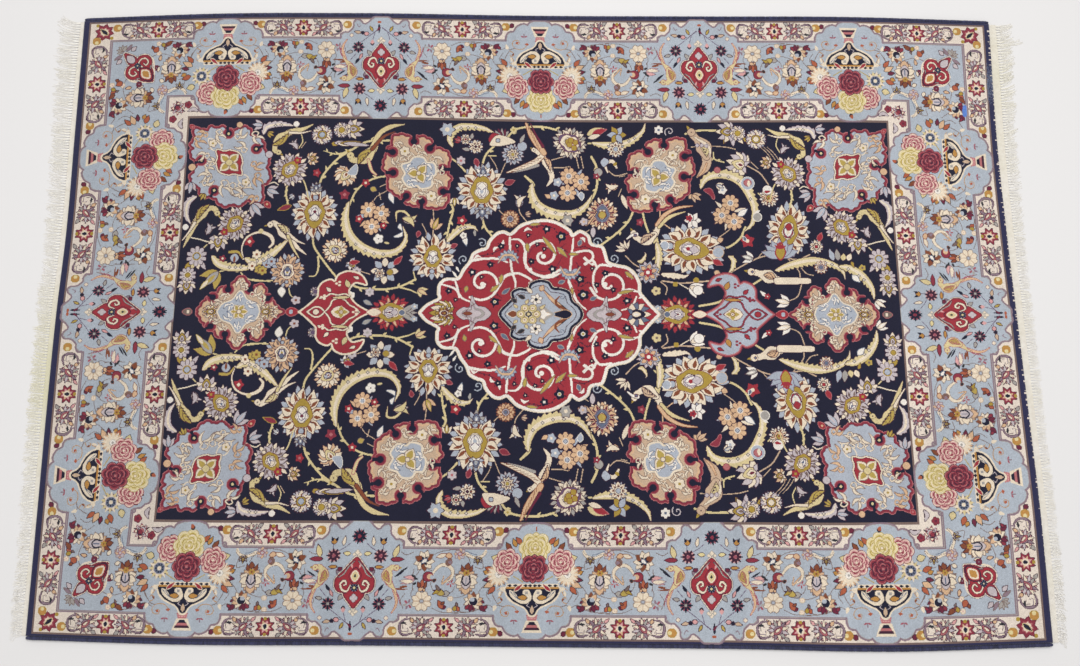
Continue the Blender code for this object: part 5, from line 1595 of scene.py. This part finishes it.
cord_wool.node_tree.links.new(bump.outputs["Normal"], cord_shader.inputs["Normal"])

for name, edge, outward in (("side_cord_far", far_edge, 1), ("side_cord_near", near_edge, -1)):
    rings = int(2 * HALF_LONG / WRAP_PITCH * RINGS_PER_WRAP)
    cord, places = add_grid(name, rings, CORD_SIDES, slab=False)
    share = places[:, 0] + 0.5
    turn = 2 * np.pi * (np.rint((places[:, 1] + 0.5) * CORD_SIDES) % CORD_SIDES + 0.5) / CORD_SIDES
    outer = edge((2 * share - 1) * HALF_LONG)
    middle = outer - outward * CORD_HALF
    x = left_edge(middle) * (1 - share) + right_edge(middle) * share
    wraps = share * 2 * HALF_LONG / WRAP_PITCH
    valley = 1 - np.abs(np.sin(np.pi * (wraps + 0.12 * np.cos(turn))))
    uneven = 0.05 * np.sin(wraps * 0.37) * np.sin(wraps * 1.13 + 2)
    end_draw = 0.55 + 0.45 * np.clip(np.minimum(share, 1 - share) * 2 * HALF_LONG / 5, 0, 1) ** 0.5
    size = (1 - 0.16 * valley + uneven) * end_draw
    flat_share = np.cos(np.pi / CORD_SIDES)
    y = middle + outward * CORD_HALF * np.cos(turn) / flat_share * np.minimum(size, 1)
    height_share = np.where(np.sin(turn) < 0, 1.0, size)      # its underside lies flat on the floor
    z = CORD_HIGH / 2 * (1 + np.sin(turn) / flat_share * height_share)
    lay_out(cord.data, x, y, np.maximum(z, 0))
    bpy.ops.object.mode_set(mode="EDIT")
    bpy.ops.mesh.select_all(action="SELECT")
    bpy.ops.mesh.remove_doubles(threshold=0.00001)
    bpy.ops.mesh.fill_holes(sides=0)
    bpy.ops.object.mode_set(mode="OBJECT")
    smooth_off(70)
    cord.data.materials.append(cord_wool)
    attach(cord, "root")
    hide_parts("selvedge_far" if outward > 0 else "selvedge_near")


# ---- The flat-woven webs ----
# Past the last row of knots the weaver made a narrow band of plain cotton
# weave, which keeps the knots from working loose. It is bare of pile.
LEFT_FRINGE = [             # y, web, reach of the locks past it, sweep of their tips
    (-525, 9.0, 21.0, -6.0), (-400, 9.0, 22.0, -2.0), (-250, 9.5, 25.0, 0.0), (-100, 10.0, 27.0, 2.0),
    (60, 10.5, 29.0, 3.0), (250, 10.5, 33.0, 5.0), (380, 10.0, 38.0, 4.0), (470, 9.5, 42.0, 6.0),
    (525, 8.5, 44.0, 12.0),
]
RIGHT_FRINGE = [
    (-525, 11.0, 17.0, -8.0), (-430, 12.0, 18.0, -3.0), (-250, 12.5, 17.0, 0.0), (-50, 13.0, 19.0, 1.0),
    (150, 14.0, 21.0, 3.0), (330, 15.0, 26.0, 5.0), (460, 15.0, 29.0, 7.0), (525, 14.0, 30.0, 4.0),
]
WEB_THICK = 1.6
LOCK_PITCH = 5.0
LOCKS = int(2 * HALF_WIDE / LOCK_PITCH)


def cotton_material(name, low_colour, high_colour, aged_colour):
    """Undyed cotton, creamy and matt, yellower where it has aged."""
    material, shader = new_material(name, {
        "Roughness": 0.95, "Specular IOR Level": 0.2, "Sheen Weight": 0.2})
    body = add_node(material, "TexCoord")
    tone = add_node(material, "TexNoise", {"Vector": body.outputs["Object"], "Scale": 140.0, "Detail": 4.0})
    ramp = add_node(material, "ValToRGB", {"Fac": tone.outputs[0]})
    set_ramp(ramp, (0.3, low_colour), (0.7, high_colour))
    aged = add_node(material, "Attribute", attribute_name="aged")
    mixed = add_node(material, "Mix", {
        "Factor": aged.outputs["Fac"], 6: ramp.outputs["Color"], 7: to_linear(aged_colour)},
        data_type="RGBA")
    material.node_tree.links.new(mixed.outputs[2], shader.inputs["Base Color"])
    return material, shader, body


def record_age(mesh, x, y):
    """How yellow the cotton has grown at each vertex: most in the middle of the left end."""
    left = np.exp(-((y + 110) / 110) ** 2) * (x < 0) * 0.9
    right = np.exp(-((y - 430) / 120) ** 2) * (x > 0) * 0.3
    aged = mesh.attributes.new("aged", "FLOAT", "POINT")
    aged.data.foreach_set("value", left + right + 0.12 * (1 + np.sin(y / 31) * np.sin(y / 13)))


web_cotton, web_shader, body = cotton_material("plain_woven_cotton", "e6ded2", "f4eee4", "e0dabc")
weave_way = add_node(web_cotton, "SeparateXYZ", {"Vector": body.outputs["Object"]})
waves = []
for axis, pitch in (("X", 0.0011), ("Y", 0.0014)):
    turns = add_node(web_cotton, "Math", {0: weave_way.outputs[axis], 1: math.pi / pitch},
        operation="MULTIPLY")
    wave = add_node(web_cotton, "Math", {0: turns.outputs[0]}, operation="SINE")
    waves.append(wave.outputs[0])
threads = add_node(web_cotton, "Math", {0: waves[0], 1: waves[1]}, operation="MULTIPLY")
web_bump = add_node(web_cotton, "Bump", {"Height": threads.outputs[0], "Strength": 0.8, "Distance": 0.0004})
web_cotton.node_tree.links.new(web_bump.outputs["Normal"], web_shader.inputs["Normal"])

for name, outward, table in (("web_left", -1, LEFT_FRINGE), ("web_right", 1, RIGHT_FRINGE)):
    web, places = add_grid(name, 5, LOCKS * 4)
    out_share = places[:, 0] + 0.5 if outward > 0 else 0.5 - places[:, 0]
    flat_y = places[:, 1] * 2 * HALF_WIDE
    x_rim, y = cloth_place(np.full(len(places), outward * HALF_LONG), flat_y)
    wide = read_smoothly(table, y, 1)
    between_locks = np.abs(np.sin(np.pi * (places[:, 1] + 0.5) * LOCKS))
    edge_bay = 1.5 * (1 - between_locks) * (out_share > 0.9)
    x = x_rim + outward * (0.1 + out_share * wide - edge_bay)
    hollow = 0.15 * np.sin(y / 9) + 0.2 * np.sin(y / 3.1) * out_share
    z = np.where(places[:, 2] > 0.5, WEB_THICK - 0.25 * out_share + 0.4 * hollow * out_share, 0.0)
    lay_out(web.data, x, y, z)
    record_age(web.data, x, y)
    smooth_off(50)
    web.data.materials.append(web_cotton)
    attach(web, "root")
    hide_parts("fringe_left" if outward < 0 else "fringe_right")


# ---- The fringe ----
# The fringe is the warp itself: the cotton ends that are left when the cloth
# is cut from the loom. They stand in small locks, wavy, worn short in places.
STRANDS_PER_LOCK = 4
STRAND_RINGS, STRAND_SIDES = 11, 4
LONG_LOCK_Y, LONG_LOCK_REACH = 487.0, 50    # one lock near the right end's corner, left uncut
FRINGE_SEED = 31

fringe_cotton, fringe_shader, body = cotton_material("twisted_cotton_warp", "efeae2", "fbf8f3", "eae5cd")
ply = add_node(fringe_cotton, "TexNoise", {"Vector": body.outputs["Object"], "Scale": 900.0, "Detail": 3.0})
ply_bump = add_node(fringe_cotton, "Bump", {"Height": ply.outputs[0], "Strength": 0.6, "Distance": 0.0003})
fringe_cotton.node_tree.links.new(ply_bump.outputs["Normal"], fringe_shader.inputs["Normal"])

for name, outward, table in (("fringe_locks_left", -1, LEFT_FRINGE),
                             ("fringe_locks_right", 1, RIGHT_FRINGE)):
    draw = random.Random(FRINGE_SEED + outward)
    points, faces = [], []
    for lock in range(LOCKS):
        lock_y = (2 * (lock + 0.5) / LOCKS - 1) * HALF_WIDE
        x_rim, root_y = cloth_place(outward * HALF_LONG, lock_y)
        x_rim, root_y = float(x_rim), float(root_y)
        web_wide, reach, sweep = (float(read_smoothly(table, root_y, column)) for column in (1, 2, 3))
        root_x = x_rim + outward * (web_wide - 1.2)
        reach *= draw.uniform(0.84, 1.06)
        sweep += draw.uniform(-1.6, 1.6) + 3.2 * math.sin(1.3 * lock) + 2.0 * math.sin(0.37 * lock)
        curly = 0.5 + 1.3 * min(max((-root_y - 330) / 150, 0), 1)
        if outward > 0 and abs(root_y - LONG_LOCK_Y) < LOCK_PITCH / 2:
            reach = LONG_LOCK_REACH
        for strand in range(STRANDS_PER_LOCK):
            own_reach = reach * draw.uniform(0.8, 1.04)
            splay = (strand + 0.5) / STRANDS_PER_LOCK - 0.5
            wave, phase = draw.uniform(0.4, 1.1) * curly, draw.uniform(0, FULL_TURN)
            turns = draw.uniform(0.7, 1.8) * (1 + 0.5 * curly)
            lift = draw.uniform(0, 0.7)
            thick = draw.uniform(0.42, 0.6)
            tip_sweep = sweep + splay * draw.uniform(1, 5)
            first = len(points)
            for ring in range(STRAND_RINGS):
                share = ring / (STRAND_RINGS - 1)
                sway = wave * (math.sin(phase + FULL_TURN * turns * share) - math.sin(phase)) * share ** 0.5
                x = min(abs(root_x) + own_reach * share, REACH_LONG)
                y = root_y + splay * (2.3 + 3.2 * share) + tip_sweep * share ** 2 + sway
                y = min(max(y, -REACH_WIDE + 1), REACH_WIDE - 1)
                radius = thick * (1 - 0.35 * share)
                z = radius + (0.85 - radius + lift) * (1 - share) ** 2 + 0.4 * lift * share * (1 - share)
                for side in range(STRAND_SIDES):
                    turn = FULL_TURN * side / STRAND_SIDES + share * 5
                    points.append((outward * x, y + radius * math.cos(turn), z + radius * math.sin(turn)))
            for ring in range(STRAND_RINGS - 1):
                start = first + STRAND_SIDES * ring
                for side in range(STRAND_SIDES):
                    a, b = start + side, start + (side + 1) % STRAND_SIDES
                    faces.append((a, b, b + STRAND_SIDES, a + STRAND_SIDES))
            for start in (first, first + STRAND_SIDES * (STRAND_RINGS - 1)):
                faces.append(tuple(start + side for side in range(STRAND_SIDES)))
    mesh = bpy.data.meshes.new(name)
    mesh.from_pydata([(x * MM, y * MM, max(z, 0) * MM) for x, y, z in points], [], faces)
    fringe = bpy.data.objects.new(name, mesh)
    bpy.context.collection.objects.link(fringe)
    bpy.context.view_layer.objects.active = fringe
    fringe.select_set(True)
    places = np.array(points)
    record_age(mesh, places[:, 0], places[:, 1])
    smooth_off(80)
    mesh.materials.append(fringe_cotton)
    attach(fringe, "root")
    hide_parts("fringe_left" if outward < 0 else "fringe_right")


# ---- Floor, light and camera ----
# A plain pale floor under soft studio light, seen from where the photograph
# was taken: above the rug and a little towards its near side.
bpy.ops.mesh.primitive_plane_add(size=14, location=(0, 0, -0.0005))
floor = bpy.context.object
floor.name = "floor"
floor_paint, floor_shader = new_material("matt_pale_floor", {
    "Base Color": to_linear("e2e0df"), "Roughness": 0.8})
floor.data.materials.append(floor_paint)

world = bpy.data.worlds.new("studio")
bpy.context.scene.world = world
world.use_nodes = True
world.node_tree.nodes["Background"].inputs["Color"].default_value = (1, 1, 1, 1)
world.node_tree.nodes["Background"].inputs["Strength"].default_value = 0.64
bpy.ops.object.light_add(type="AREA", location=(0.1, 0.5, 2.6))
lamp = bpy.context.object
lamp.data.energy = 46
lamp.data.size = 2.4
lamp.rotation_euler = (-0.2, 0.04, 0)

bpy.ops.object.camera_add(location=(0.0046, -0.3808, 1.6271), rotation=(0.208115, -0.000363, 0.003249))
camera = bpy.context.object
camera.data.lens, camera.data.sensor_width = 33.333, 36.0
bpy.context.scene.camera = camera
bpy.context.scene.view_settings.view_transform = "Standard"
